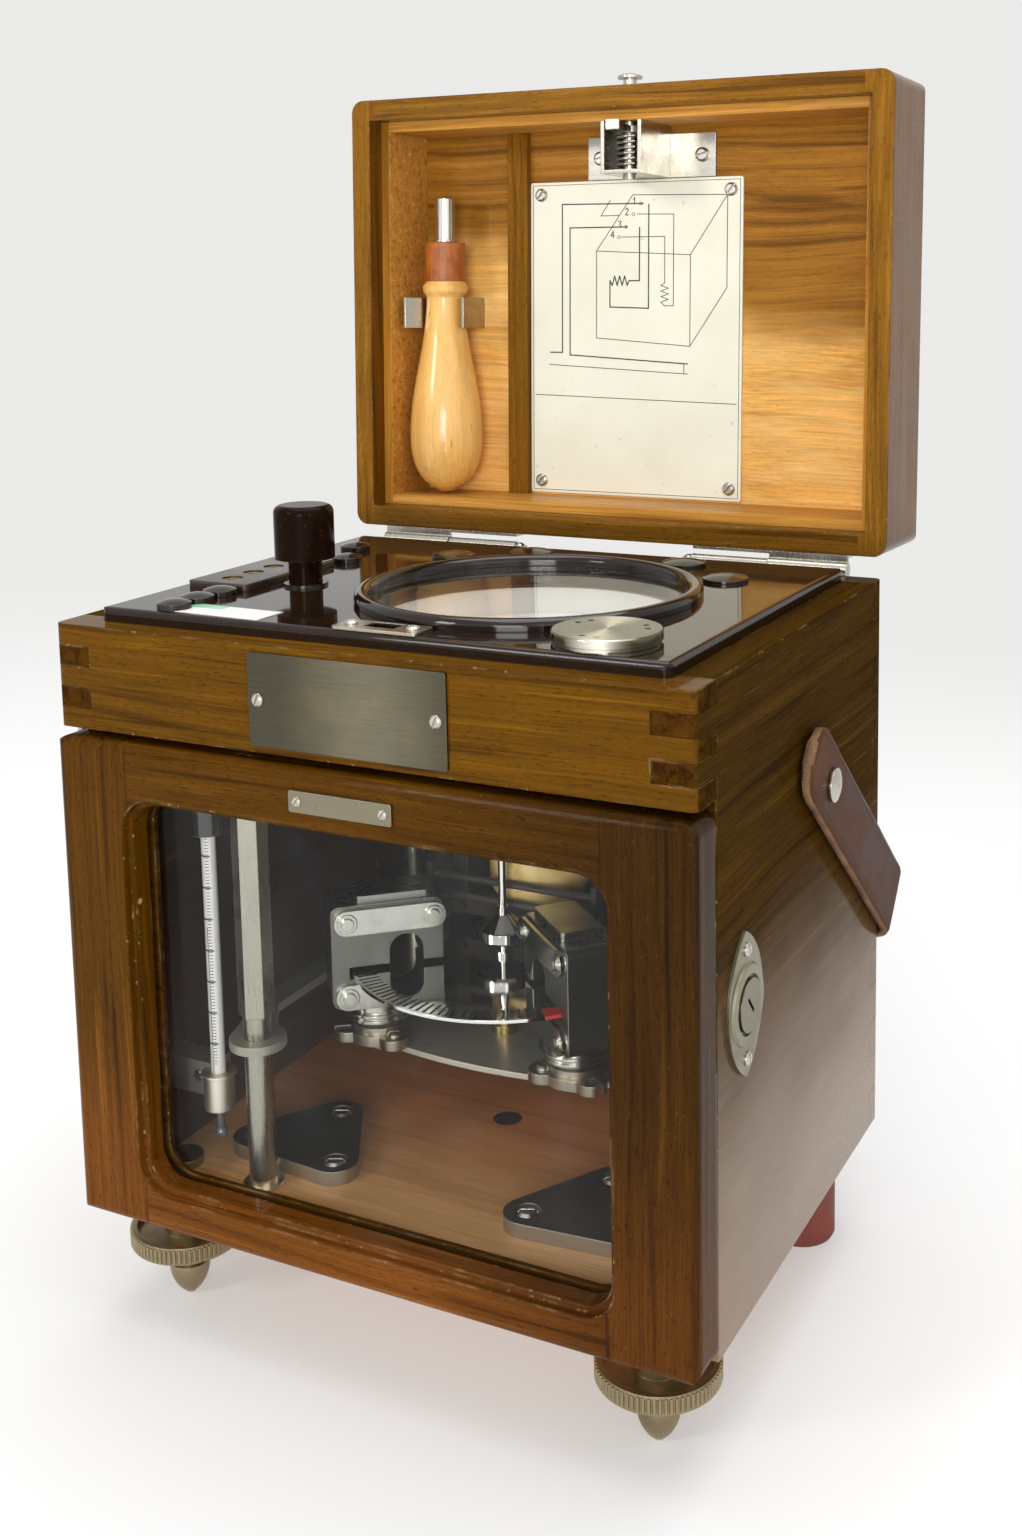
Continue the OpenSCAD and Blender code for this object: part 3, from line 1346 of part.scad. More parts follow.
// Rotor lock: knob, shaft through the panel, arm and rod over the rotor disc
rod_x = -38;
rod_y = 108;
lock_arm_z = 150;
pad_z = hub_z + lock_travel + 0.8;
module lock_knob() {
    color([0.16, 0.07, 0.04]) in_case() {
        translate([knob_x, knob_y, 0]) {
            translate([0, 0, lock_arm_z + 1]) cylinder(r = knob_shaft_r - 2, h = panel_foot - lock_arm_z - 2);
            translate([0, 0, panel_foot - lock_travel - 1])
                cylinder(r = knob_shaft_r, h = panel_rise + panel_seat + 2 * lock_travel + 4);
            translate([0, 0, panel_top + lock_travel + 1.6]) soft_knob();
            translate([0, 0, lock_arm_z]) cylinder(r = 5, h = 4);
            translate([0, 0, lock_arm_z + 0.5]) rotate([0, 0, atan2(rod_y - knob_y, rod_x - knob_x)])
                translate([0, -3, 0]) cube([norm([rod_x - knob_x, rod_y - knob_y]), 6, 3]);
        }
        translate([rod_x, rod_y, 0]) {
            translate([0, 0, lock_arm_z]) cylinder(r = 4, h = 4);
            translate([0, 0, pad_z + 1]) cylinder(r = 1.25, h = lock_arm_z - pad_z + 1);
            translate([0, 0, pad_z]) cylinder(r = 3.5, h = 3);
        }
    }
}

// Cap of the knob, round at its upper edge
module soft_knob() {
    rotate_extrude() intersection() {
        square([knob_r + 1, 19]);
        translate([0, 18.4 / 2 - 5]) soft_rect(2 * knob_r, 18.4 + 10, 2.6);
    }
}

// Pointer of the main dial on its arbor
pointer_gap = 1.6;
module dial_pointer() {
    color("black") in_case() translate([dial_x, dial_y, 0]) {
        translate([0, 0, panel_top - housing_depth - 3]) cylinder(r = arbor_r, h = housing_depth - dial_depth + 3 + pointer_gap + 1);
        translate([0, 0, panel_top - housing_depth - 4]) cylinder(r = 6, h = 2.4, $fn = 48);
        translate([0, 0, dial_plate_z + pointer_gap]) cylinder(r = 4.5, h = 0.8);
        translate([0, 0, dial_plate_z + pointer_gap]) linear_extrude(0.8)
            polygon([[-1.6, -12], [1.6, -12], [0.7, dial_r * 0.72], [0, dial_r * 0.8], [-0.7, dial_r * 0.72]]);
    }
}

// Leather carrying strap, hung on its studs
strap_inner = case_w / 2 + washer_t + rise_gap;
strap_tail = 23;
module carry_strap() {
    color([0.28, 0.13, 0.08]) in_case() translate([0, strap_py, strap_pz]) rotate([-strap_hang, 0, 0]) difference() {
        intersection() {
            translate([0, 0, -strap_w / 2]) linear_extrude(strap_w) difference() {
                translate([0, (strap_reach + strap_t - 40) / 2])
                    soft_rect(2 * (strap_inner + strap_t), strap_reach + strap_t + 40, 12);
                translate([0, (strap_reach - 60) / 2])
                    soft_rect(2 * strap_inner, strap_reach + 60, 8);
            }
            from_side(-case_w, case_w) translate([(strap_reach + 40 - strap_tail) / 2, 0])
                soft_rect(strap_reach + 40 + strap_tail, strap_w, 5);
        }
        rotate([0, 90, 0]) cylinder(r = stud_r + fit, h = 2 * case_w, center = true);
    }
}

side_left();
side_right();
back_board();
floor_board();
front_rail();
instrument_panel();
dial_ring();
dial_glass();
dial_plate();
register_housing();
terminal_block();
terminal_sleeves();
round_caps();
cover_disc();
catch_plate();
notice_plate();
case_screws();
strap_studs();
lock_case();
pillars();
frame_plate();
frame_back();
bracket_arm();
magnet_left();
magnet_right();
magnet_bases();
shunt_core();
shunt_coil();
series_magnet();
rotor_bearings();
thermometer();
thermometer_clip();
floor_plates();
rear_feet();
foot_bushes();
case_hinge_leaves();
door_frame();
door_glass();
door_bead();
number_plate();
door_hinge_leaves();
lock_barrel();
lid_shell();
lid_lining();
lid_divider();
diagram_plate();
lid_screws();
tool_clip();
latch_base();
lid_hinge_leaves();
latch_spring();
latch_button();
tool_handle();
tool_shank();
lock_knob();
rotor();
dial_pointer();
carry_strap();
level_foot_left();
level_foot_right();
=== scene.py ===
import json
import math

import bmesh
import bpy
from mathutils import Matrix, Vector

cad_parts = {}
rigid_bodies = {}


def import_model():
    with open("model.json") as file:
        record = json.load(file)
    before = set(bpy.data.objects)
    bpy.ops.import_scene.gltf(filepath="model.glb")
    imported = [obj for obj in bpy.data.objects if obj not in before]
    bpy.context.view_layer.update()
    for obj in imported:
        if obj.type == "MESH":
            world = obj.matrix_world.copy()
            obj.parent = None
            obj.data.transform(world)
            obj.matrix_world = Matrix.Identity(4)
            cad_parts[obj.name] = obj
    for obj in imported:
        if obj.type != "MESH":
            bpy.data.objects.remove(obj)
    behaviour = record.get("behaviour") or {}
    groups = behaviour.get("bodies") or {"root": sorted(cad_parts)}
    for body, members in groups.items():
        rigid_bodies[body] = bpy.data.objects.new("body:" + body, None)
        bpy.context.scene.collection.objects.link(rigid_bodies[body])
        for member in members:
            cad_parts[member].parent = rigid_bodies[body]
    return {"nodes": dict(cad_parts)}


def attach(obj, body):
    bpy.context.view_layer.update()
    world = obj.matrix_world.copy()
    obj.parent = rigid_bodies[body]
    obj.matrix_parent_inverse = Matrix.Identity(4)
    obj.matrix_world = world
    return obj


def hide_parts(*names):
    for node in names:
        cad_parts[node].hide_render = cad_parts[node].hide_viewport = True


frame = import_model()
nodes = frame["nodes"]
scene = bpy.context.scene


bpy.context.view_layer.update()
MM = 0.001
SOURCE_Y = 110.874  # the frame's y zero in part.scad's millimetres
for old in list(bpy.data.objects):
    if old.name in ("Cube", "Light", "Camera") and old.name not in nodes:
        bpy.data.objects.remove(old, do_unlink=True)


def centre(x, y):
    """A point of part.scad's plan, in the frame's metres."""
    return x * MM, (y - SOURCE_Y) * MM


# ---------------------------------------------------------------- node helpers

NOISE_RANGE = (0.3, 0.7)


def grey(v):
    return (v, v, v)


def scaled(color, by):
    return tuple(c * by for c in color)


class Tree:
    """Short calls that add nodes to a node tree and return an output."""

    def __init__(self, tree):
        self.t = tree

    def find(self, kind):
        return next(n for n in self.t.nodes if n.type == kind)

    def put(self, socket, value):
        if isinstance(value, bpy.types.NodeSocket):
            self.t.links.new(value, socket)
        else:
            socket.default_value = value

    def new(self, kind, **props):
        n = self.t.nodes.new("ShaderNode" + kind)
        for k, v in props.items():
            setattr(n, k, v)
        return n

    def made(self, kind, inputs, out=0, **props):
        """An output of a new node; its inputs go by name or number, None leaves one as it is."""
        n = self.new(kind, **props)
        for key, value in inputs.items():
            if value is not None:
                self.put(n.inputs[key], value)
        return n.outputs[out]

    def math(self, op, *values, clamp=False):
        return self.made("Math", dict(enumerate(values)), operation=op, use_clamp=clamp)

    def add(self, a, b, clamp=False):
        return self.math("ADD", a, b, clamp=clamp)

    def sub(self, a, b, clamp=False):
        return self.math("SUBTRACT", a, b, clamp=clamp)

    def most(self, a, b, clamp=False):
        return self.math("MAXIMUM", a, b, clamp=clamp)

    def mul(self, a, b):
        return self.math("MULTIPLY", a, b)

    def abs(self, a):
        return self.math("ABSOLUTE", a)

    def off(self, a, b):
        """How far a is from b, to either side."""
        return self.abs(self.sub(a, b))

    def shaders(self, fac, a, b):
        """Shader a, mixed with shader b."""
        return self.made("MixShader", {0: fac, 1: a, 2: b})

    def paper_rays(self):
        """1 for the rays that find the background's own tone: from the camera, from gloss and through glass."""
        path = self.new("LightPath").outputs
        return self.most(path["Is Camera Ray"], self.most(path["Is Glossy Ray"], path["Is Transmission Ray"]))


class Shade(Tree):
    """One material."""

    def __init__(self, name, color=(0.5, 0.5, 0.5), rough=0.5, metal=0.0, coat=0.0,
                 coat_rough=0.05, ior=1.5, spec=0.5):
        self.m = bpy.data.materials.new(name)
        self.m.use_nodes = True
        super().__init__(self.m.node_tree)
        self.p = self.find("BSDF_PRINCIPLED")
        self.set({"Base Color": (*color, 1.0), "Roughness": rough, "Metallic": metal, "Coat Weight": coat,
                  "Coat Roughness": coat_rough, "IOR": ior, "Specular IOR Level": spec})
        self.tc = self.new("TexCoord").outputs

    def set(self, values):
        for key, value in values.items():
            if value is not None:
                self.put(self.p.inputs[key], value)

    def out(self, color, rough, normal, coat=None, coat_normal=None, metal=None):
        """Links what isn't None to the shader and returns the material."""
        self.set({"Base Color": color, "Roughness": rough, "Metallic": metal, "Coat Weight": coat, "Normal": normal,
                  "Coat Normal": normal if coat_normal is None else coat_normal})
        return self.m

    # coordinates and vectors

    def pos(self):
        return self.tc["Object"]

    def facing(self):
        return self.tc["Normal"]

    def xyz(self, vec=None):
        n = self.new("SeparateXYZ")
        self.put(n.inputs[0], vec or self.pos())
        return n.outputs

    def joined(self, x, y, z):
        return self.made("CombineXYZ", {0: x, 1: y, 2: z})

    def space(self, scale=(1, 1, 1), shift=(0, 0, 0), turn=(0, 0, 0), src=None):
        return self.made("Mapping", {"Vector": src or self.pos(), "Scale": scale, "Location": shift,
                                     "Rotation": turn}, "Vector")

    def vmath(self, op, a, b):
        return self.made("VectorMath", {0: a, 1: b}, operation=op)

    def dot(self, a, b):
        return self.made("VectorMath", {0: a, 1: b}, "Value", operation="DOT_PRODUCT")

    def polar(self, cx, cy):
        """Distance from an upright axis, angle round it, and height."""
        x, y, z = self.xyz()
        dx, dy = self.sub(x, cx), self.sub(y, cy)
        r = self.math("SQRT", self.add(self.mul(dx, dx), self.mul(dy, dy)))
        return r, self.math("ARCTAN2", dy, dx), z

    # patterns

    def noise(self, vec, scale, detail=2.0, rough=0.5, warp=0.0, out="Fac"):
        return self.made("TexNoise", {"Vector": vec, "Scale": scale, "Detail": detail, "Roughness": rough,
                                      "Distortion": warp}, out)

    def cells(self, vec, scale):
        return self.made("TexVoronoi", {"Vector": vec, "Scale": scale}, "Distance")

    def fade(self, v, lo, hi, a=0.0, b=1.0):
        """Goes smoothly from a, where v is lo, to b, where v is hi."""
        return self.made("MapRange", {"Value": v, "From Min": lo, "From Max": hi, "To Min": a, "To Max": b},
                         "Result", interpolation_type="SMOOTHSTEP")

    def vary(self, noise, a, b):
        """A number that goes from a to b over a noise's usual range."""
        return self.fade(noise, *NOISE_RANGE, a, b)

    def between(self, v, lo_out, lo_in, hi_in, hi_out):
        """1 between two soft limits, 0 outside them."""
        return self.mul(self.fade(v, lo_out, lo_in), self.fade(v, hi_out, hi_in))

    def wander(self, v, noise, by):
        """v, moved to and fro by a noise."""
        return self.add(v, self.mul(self.sub(noise, 0.5), by))

    def marks(self, v, per_unit, outer, inner):
        """A mark in the middle of each step of v; outer and inner are half widths in steps."""
        return self.fade(self.off(self.math("FRACT", self.mul(v, per_unit)), 0.5), outer, inner)

    def round_marks(self, angle, count, outer, inner):
        return self.marks(self.add(angle, math.pi), count / (2 * math.pi), outer, inner)

    def rim(self, radius):
        """(soft normal, mask that is 1 along sharp edges)."""
        soft = self.made("Bevel", {"Radius": radius}, "Normal", samples=4)
        flat = self.new("NewGeometry").outputs["True Normal"]
        return soft, self.fade(self.dot(soft, flat), 0.97, 0.75)

    def bump(self, height, depth, strength=1.0, under=None):
        return self.made("Bump", {"Strength": strength, "Distance": depth, "Height": height, "Normal": under},
                         "Normal")

    # colours

    def ramp(self, fac, stops):
        n = self.new("ValToRGB")
        e = n.color_ramp.elements
        while len(e) < len(stops):
            e.new(0.5)
        for k, (at, c) in enumerate(stops):
            e[k].position = at
            e[k].color = (*c, 1.0)
        self.put(n.inputs["Fac"], fac)
        return n.outputs["Color"]

    def tones(self, noise, a, b):
        """A colour that goes from a to b over a noise's usual range."""
        return self.ramp(noise, list(zip(NOISE_RANGE, (a, b))))

    def mix(self, fac, a, b, mode="MIX"):
        # 0, 6 and 7 are the factor and the two colours of a Mix node, and 2 is its colour output
        a, b = (v if isinstance(v, bpy.types.NodeSocket) else (*v, 1.0) for v in (a, b))
        return self.made("Mix", {0: fac, 6: a, 7: b}, 2, data_type="RGBA", blend_type=mode)

    def tint(self, color, by, fac=1.0):
        return self.mix(fac, color, by, "MULTIPLY")

    def dim(self, color, by):
        return self.tint(color, self.joined(by, by, by))


def dress(material, *names):
    """Gives CAD nodes their material."""
    for name in names:
        mesh = nodes[name].data
        if not mesh.materials:
            mesh.materials.append(material)
        for k in range(len(mesh.materials)):
            mesh.materials[k] = material


# ---------------------------------------------------------------- wood

def grain(s, axis, pale, mid, deep, seed=0.0, width=1.0, wave=1.0, pore=0.5):
    """Colour and height of straight-grained wood that runs along one axis."""
    def drawn_out(by):
        scale = [1.0, 1.0, 1.0]
        scale[axis] = by
        return s.space(scale=tuple(scale), src=v)

    v = s.space(shift=(seed * 0.731, seed * 0.417, seed * 0.913))
    bend = s.noise(v, 7.0, 2.0, out="Color")
    bend = s.vmath("MULTIPLY", s.vmath("SUBTRACT", bend, (0.5, 0.5, 0.5)), (0.009 * wave,) * 3)
    v = s.vmath("ADD", v, bend)
    bands = s.noise(drawn_out(0.022), 330.0 / width, 3.0, 0.55, 0.2)
    fine = s.noise(drawn_out(0.011), 1250.0, 2.0, 0.6)
    dashes = s.noise(drawn_out(0.10), 2900.0, 2.0, 0.5)
    broad = s.noise(v, 12.0, 2.0, 0.5)
    col = s.ramp(bands, [(0.30, deep), (0.46, mid), (0.57, mid), (0.74, pale)])
    col = s.tint(col, s.tones(fine, grey(0.62), grey(1.30)), 0.6)
    col = s.tint(col, s.tones(broad, grey(0.76), grey(1.22)), 0.6)
    pores = s.fade(dashes, 0.59, 0.68)
    col = s.mix(s.mul(pores, min(1.0, pore * 1.2)), col, scaled(deep, 0.45))
    return col, s.sub(s.mul(fine, 0.35), pores)


def end_grain(s, axis, col, mid, deep, seed=0.0):
    """Darker speckled colour on faces that cut across the grain."""
    cut = s.fade(s.abs(s.xyz(s.facing())[axis]), 0.75, 0.9)
    dots = s.noise(s.space(shift=(seed, seed, seed)), 1500.0, 2.0)
    rings = s.noise(s.space(shift=(seed, 0, seed)), 160.0, 3.0, 0.6, 1.2)
    c = s.ramp(dots, [(0.3, scaled(deep, 0.35)), (0.65, deep)])
    c = s.mix(s.fade(rings, 0.35, 0.7), c, mid)
    return s.mix(cut, col, c)


def varnish(s, col, height, wear=1.0, seed=0.0, rough=0.4, coat=1.0, coat_rough=0.09, radius=0.0013,
            dents=True, coat_ior=1.20, spec=0.03):
    """Clear coat over wood, with rubbed edges, chips, small dents and fine scratches."""
    bare = (0.52, 0.33, 0.15)
    soft, edge = s.rim(radius)
    patches = s.noise(s.space(shift=(seed, seed * 2, seed * 3)), 55.0, 4.0, 0.65)
    specks = s.noise(s.space(shift=(seed * 3, seed, seed)), 420.0, 3.0, 0.6)
    rubbed = s.mul(edge, s.fade(patches, 0.50, 0.66))
    chips = s.mul(edge, s.fade(specks, 0.63, 0.68))
    mask = s.most(s.mul(rubbed, 0.55 * wear), s.mul(chips, wear), True)
    col = s.mix(mask, col, bare)
    h = s.sub(height, s.mul(mask, 2.0))
    if dents:
        cell = s.cells(s.space(shift=(seed, seed, 0)), 38.0)
        pick = s.noise(s.space(shift=(seed * 5, 0, seed)), 23.0, 0.0)
        nicks = s.mul(s.fade(cell, 0.055, 0.035), s.fade(pick, 0.62, 0.66))
        col = s.mix(s.mul(nicks, 0.8), col, scaled(bare, 1.1))
        h = s.sub(h, s.mul(nicks, 4.0))
    scratches = s.noise(s.space(scale=(1.0, 0.03, 1.0), turn=(0.4, 0.3, 0.9)), 900.0, 2.0, 0.5)
    col = s.mix(s.mul(s.fade(scratches, 0.70, 0.76), 0.10), col, bare)
    cloud = s.noise(s.pos(), 30.0, 3.0, 0.6)
    r = s.add(s.fade(cloud, 0.3, 0.75, rough * 0.8, rough * 1.2), s.mul(mask, 0.3), True)
    wavy = s.bump(s.noise(s.pos(), 60.0, 2.0), 0.00025, 0.35, soft)
    s.set({"Coat Roughness": coat_rough, "Coat IOR": coat_ior, "Specular IOR Level": spec})
    return s.out(col, r, s.bump(h, 0.00006, 0.55, soft), s.sub(coat, s.mul(mask, 0.8), True),
                 s.bump(h, 0.00003, 0.35, wavy))


def wood(name, axis, palette, seed, width=1.0, painted_reflection_heights=None, inner=None, ends=None, coat=1.0, **finish):
    """Varnished board along one axis.

    painted_reflection_heights: heights between which the glossier coat and the painted reflection, a paler colour
    low on the case, fade out.
    inner: direction of the board's inner side, darkened with painted shade and left without coat. ends: mid and
    deep colour of its end grain.
    """
    s = Shade(name, coat_rough=0.07)
    col, h = grain(s, axis, *palette, seed, width)
    col = end_grain(s, axis, col, *(ends or palette[1:]), seed=seed)
    if painted_reflection_heights:
        haze = s.noise(s.space(scale=(1, 1, 2.0)), 14.0, 3.0)
        coat_and_painted_reflection = s.fade(s.wander(s.xyz()[2], haze, 0.05), *painted_reflection_heights, 1.0, 0.02)
        if axis == 0:
            # only on the ends that show in the case's sides
            cut = s.fade(s.abs(s.xyz(s.facing())[0]), 0.75, 0.9)
            coat = s.add(coat, s.mul(cut, s.sub(coat_and_painted_reflection, coat)))
            coat_and_painted_reflection = s.mul(cut, coat_and_painted_reflection)
        else:
            coat = coat_and_painted_reflection
        # painted reflection: a paler colour low on the case stands in for the pale floor mirrored in its varnish
        col = s.mix(s.mul(coat_and_painted_reflection, 0.42), col, (0.40, 0.235, 0.115))
    if inner:
        # painted shade: the inner faces are darker, as the inside of the case lies in shade
        painted_shade_inside = s.fade(s.dot(s.facing(), inner), 0.6, 0.8)
        col = s.mix(painted_shade_inside, col, s.tint(col, (0.34, 0.30, 0.45)))
        coat = s.mul(s.sub(1.0, painted_shade_inside), coat)
    return varnish(s, col, h, seed=seed, coat=coat, **finish)


def framed(s, palette, stile, stile_seed, rail_seed, width):
    """Colour and height of level rails between upright stiles; the mask is 1 on the stiles."""
    stile_c, stile_h = grain(s, 2, *palette, seed=stile_seed, width=width)
    rail_c, rail_h = grain(s, 0, *palette, seed=rail_seed, width=width)
    height = s.add(s.mul(stile, stile_h), s.mul(s.sub(1.0, stile), rail_h))
    return s.mix(stile, rail_c, stile_c), height


# palettes, pale to deep
SIDE = ((0.095, 0.045, 0.0050), (0.052, 0.024, 0.0024), (0.024, 0.010, 0.0012))
RAIL = ((0.168, 0.074, 0.0026), (0.108, 0.0445, 0.0012), (0.051, 0.0195, 0.0005))
DOOR = ((0.138, 0.056, 0.0020), (0.080, 0.030, 0.0008), (0.034, 0.0115, 0.0003))
GOLD = ((0.315, 0.144, 0.015), (0.214, 0.090, 0.0065), (0.108, 0.041, 0.003))
PEACH = ((0.950, 0.590, 0.200), (0.830, 0.450, 0.110), (0.600, 0.270, 0.045))
STREAKS = ((0.480, 0.215, 0.030), (0.340, 0.145, 0.017), (0.135, 0.050, 0.006))
LINING = ((0.780, 0.420, 0.120), (0.590, 0.275, 0.050), (0.380, 0.150, 0.020))
FLOOR = ((0.880, 0.510, 0.230), (0.720, 0.375, 0.135), (0.470, 0.205, 0.050))
ASH = ((0.910, 0.545, 0.170), (0.870, 0.465, 0.112), (0.640, 0.280, 0.048))

# end grain that shows in the fingers of a neighbouring board
END_IN_FRONT = ((0.068, 0.026, 0.0020), (0.040, 0.015, 0.0012))
END_IN_SIDE = ((0.064, 0.029, 0.0028), (0.038, 0.017, 0.0016))

# heights of the painted reflection and the glossier coat low on the case
PAINTED_REFLECTION_HEIGHTS = (0.040, 0.172)  # heights on the case
CASE = dict(painted_reflection_heights=PAINTED_REFLECTION_HEIGHTS, coat_ior=1.6, coat_rough=0.10, spec=0.0)
INDOORS = dict(wear=0.3, radius=0.0006, dents=False)

for side, seed, inwards in (("side_left", 1.3, 1), ("side_right", 2.1, -1)):
    dress(wood(side + "_varnish", 1, SIDE, seed, width=1.3, inner=(inwards, 0, 0), ends=END_IN_FRONT, **CASE), side)
dress(wood("back_varnish", 0, SIDE, 3.7, width=1.4, inner=(0, -1, 0), ends=END_IN_SIDE, coat=0.35, **CASE),
      "back_board")
dress(wood("rail_varnish", 0, RAIL, 4.9, width=0.9, ends=END_IN_SIDE, painted_reflection_heights=PAINTED_REFLECTION_HEIGHTS, rough=0.42, coat=0.65,
           coat_rough=0.07, spec=0.0), "front_rail")
dress(wood("bead_varnish", 0, DOOR, 7.7, coat=0.3, dents=False), "door_bead")


def door_wood():
    """Door frame: upright stiles, level rails between them, one joint line at each corner."""
    s = Shade("door_varnish")
    x, y, z = s.xyz()
    joint_x = 0.084
    ax = s.abs(x)
    col, h = framed(s, DOOR, s.fade(ax, 0.0838, 0.0842), 5.3, 6.1, 1.1)
    seam = s.fade(s.off(ax, joint_x), 0.00045, 0.00015)
    seam = s.mul(seam, s.fade(s.abs(s.xyz(s.facing())[1]), 0.6, 0.9))
    col = s.mix(s.mul(seam, 0.55), col, (0.02, 0.008, 0.002))
    # painted light: brighter and redder low down; painted shade: darker towards the right
    red = s.fade(z, 0.130, 0.045)
    col = s.mix(s.mul(red, 0.85), col, s.tint(col, (2.1, 1.8, 9.0)))
    col = s.dim(col, s.fade(x, 0.0, 0.10, 1.0, 0.52))
    return varnish(s, col, s.sub(h, seam), seed=5.0, rough=0.38, coat=0.65, coat_rough=0.06, radius=0.0016,
                   spec=0.0)


def lid_wood():
    """Lid shell: brown outside, golden rim, and a figured veneer on the inside of its top."""
    s = Shade("lid_varnish")
    x, y, z = s.xyz()
    ax = s.abs(x)
    front = s.fade(s.mul(s.xyz(s.facing())[1], -1.0), 0.4, 0.75)
    rim, h = framed(s, GOLD, s.fade(ax, 0.1015, 0.1025), 8.3, 9.1, 0.9)
    brown, _ = grain(s, 2, *SIDE, seed=2.9, width=1.3)
    col = s.mix(front, s.mix(0.7, brown, s.tint(rim, (0.80, 0.72, 0.60))), rim)
    col = s.dim(col, s.fade(z, 0.258, 0.246, 1.0, 0.68))
    # the veneer: flame figure low down, dark streaks across the upper half
    ripple = s.noise(s.space(scale=(0.25, 1, 1), shift=(0, 0, 3.0)), 95.0, 3.0, 0.55, 0.8)
    flame, _ = grain(s, 0, *PEACH, seed=10.2, width=2.0, wave=2.2, pore=0.25)
    flame = s.mix(s.fade(ripple, 0.35, 0.7, 0.0, 0.35), flame, (0.90, 0.60, 0.27))
    streaks, _ = grain(s, 0, *STREAKS, seed=11.4, width=2.0, wave=1.5, pore=0.3)
    sweep = s.noise(s.space(scale=(0.35, 1, 1.0), shift=(0.3, 0, 0)), 26.0, 2.0, 0.5, 0.3)
    # the streaks start higher to the left of the divider
    left = s.sub(1.0, s.fade(x, -0.062, -0.050))
    line = s.add(s.wander(z, sweep, 0.05), s.mul(left, -0.030))
    veneer = s.mix(s.fade(line, 0.322, 0.336), flame, streaks)
    inside = s.mul(s.fade(y, 0.0985, 0.0995), s.fade(ax, 0.1050, 0.1045))
    inside = s.mul(s.mul(inside, s.between(z, 0.2530, 0.2535, 0.4110, 0.4115)), front)
    col = s.mix(inside, col, veneer)
    return varnish(s, col, h, seed=8.0, rough=0.42, coat_rough=0.10, coat=0.75, dents=False)


def lining_wood():
    """Side strips with upright grain, darkened towards the top with painted shade, and level strips between them.
    """
    s = Shade("lining_wood")
    x, y, z = s.xyz()
    strip, h = grain(s, 2, *LINING, seed=12.0, width=0.8, pore=0.06)
    level, _ = grain(s, 0, *LINING, seed=13.0, width=0.8, pore=0.15)
    # painted shade: the side strips grow darker towards the top of the recess
    dim = s.fade(z, 0.30, 0.40, 0.90, 0.50)
    strip = s.mix(0.5, strip, (0.55, 0.245, 0.038))
    strip = s.tint(strip, s.joined(dim, s.mul(dim, 0.92), s.mul(dim, 0.68)))
    col = s.mix(s.fade(s.abs(x), 0.1005, 0.1010), level, strip)
    return varnish(s, col, h, seed=12.0, rough=0.5, coat=0.25, coat_rough=0.2, **INDOORS)


def divider_wood():
    s = Shade("divider_wood")
    col, h = grain(s, 2, *GOLD, seed=14.0, width=0.7)
    return varnish(s, col, h, seed=14.0, rough=0.5, coat=0.25, coat_rough=0.2, **INDOORS)


def floor_wood():
    """Pale veneer in front, with painted shade making it browner and darker towards the rear of the case."""
    s = Shade("floor_wood")
    col, h = grain(s, 0, *FLOOR, seed=15.0, width=2.2, wave=2.0, pore=0.15)
    drift = s.noise(s.space(scale=(0.6, 1.0, 1.0)), 22.0, 2.0)
    col = s.mix(0.45, col, s.tones(drift, (0.62, 0.29, 0.090), (0.86, 0.48, 0.215)))
    # painted shade: browner and darker towards the rear of the case
    back = s.fade(s.wander(s.xyz()[1], drift, 0.03), -0.080, 0.0)
    col = s.mix(back, col, s.tint(col, (0.84, 0.50, 0.19)))
    return varnish(s, col, h, seed=15.0, rough=0.35, coat=0.8, coat_rough=0.12, coat_ior=1.35, **INDOORS)


def handle_wood():
    """Pale ash under thin gloss, with short dark flecks and some grime."""
    s = Shade("ash_handle", coat_rough=0.10)
    col, h = grain(s, 2, *ASH, seed=16.0, width=1.6, wave=1.6, pore=0.10)
    col = s.mix(0.55, col, (0.87, 0.505, 0.138))
    flecks = s.noise(s.space(scale=(1, 1, 0.09), shift=(0.2, 0, 0)), 520.0, 2.0, 0.6)
    col = s.mix(s.fade(flecks, 0.66, 0.74, 0.0, 0.7), col, (0.33, 0.13, 0.03))
    grime = s.noise(s.pos(), 45.0, 3.0)
    col = s.mix(s.fade(grime, 0.5, 0.75, 0.0, 0.2), col, (0.45, 0.24, 0.08))
    soft, _ = s.rim(0.0006)
    return s.out(col, s.vary(grime, 0.30, 0.42), s.bump(h, 0.00005, 0.6, soft),
                 s.vary(grime, 0.6, 0.35))


dress(door_wood(), "door_frame")
dress(lid_wood(), "lid_shell")
dress(lining_wood(), "lid_lining")
dress(divider_wood(), "lid_divider")
dress(floor_wood(), "floor_board")
dress(handle_wood(), "tool_handle")


# ---------------------------------------------------------------- metals

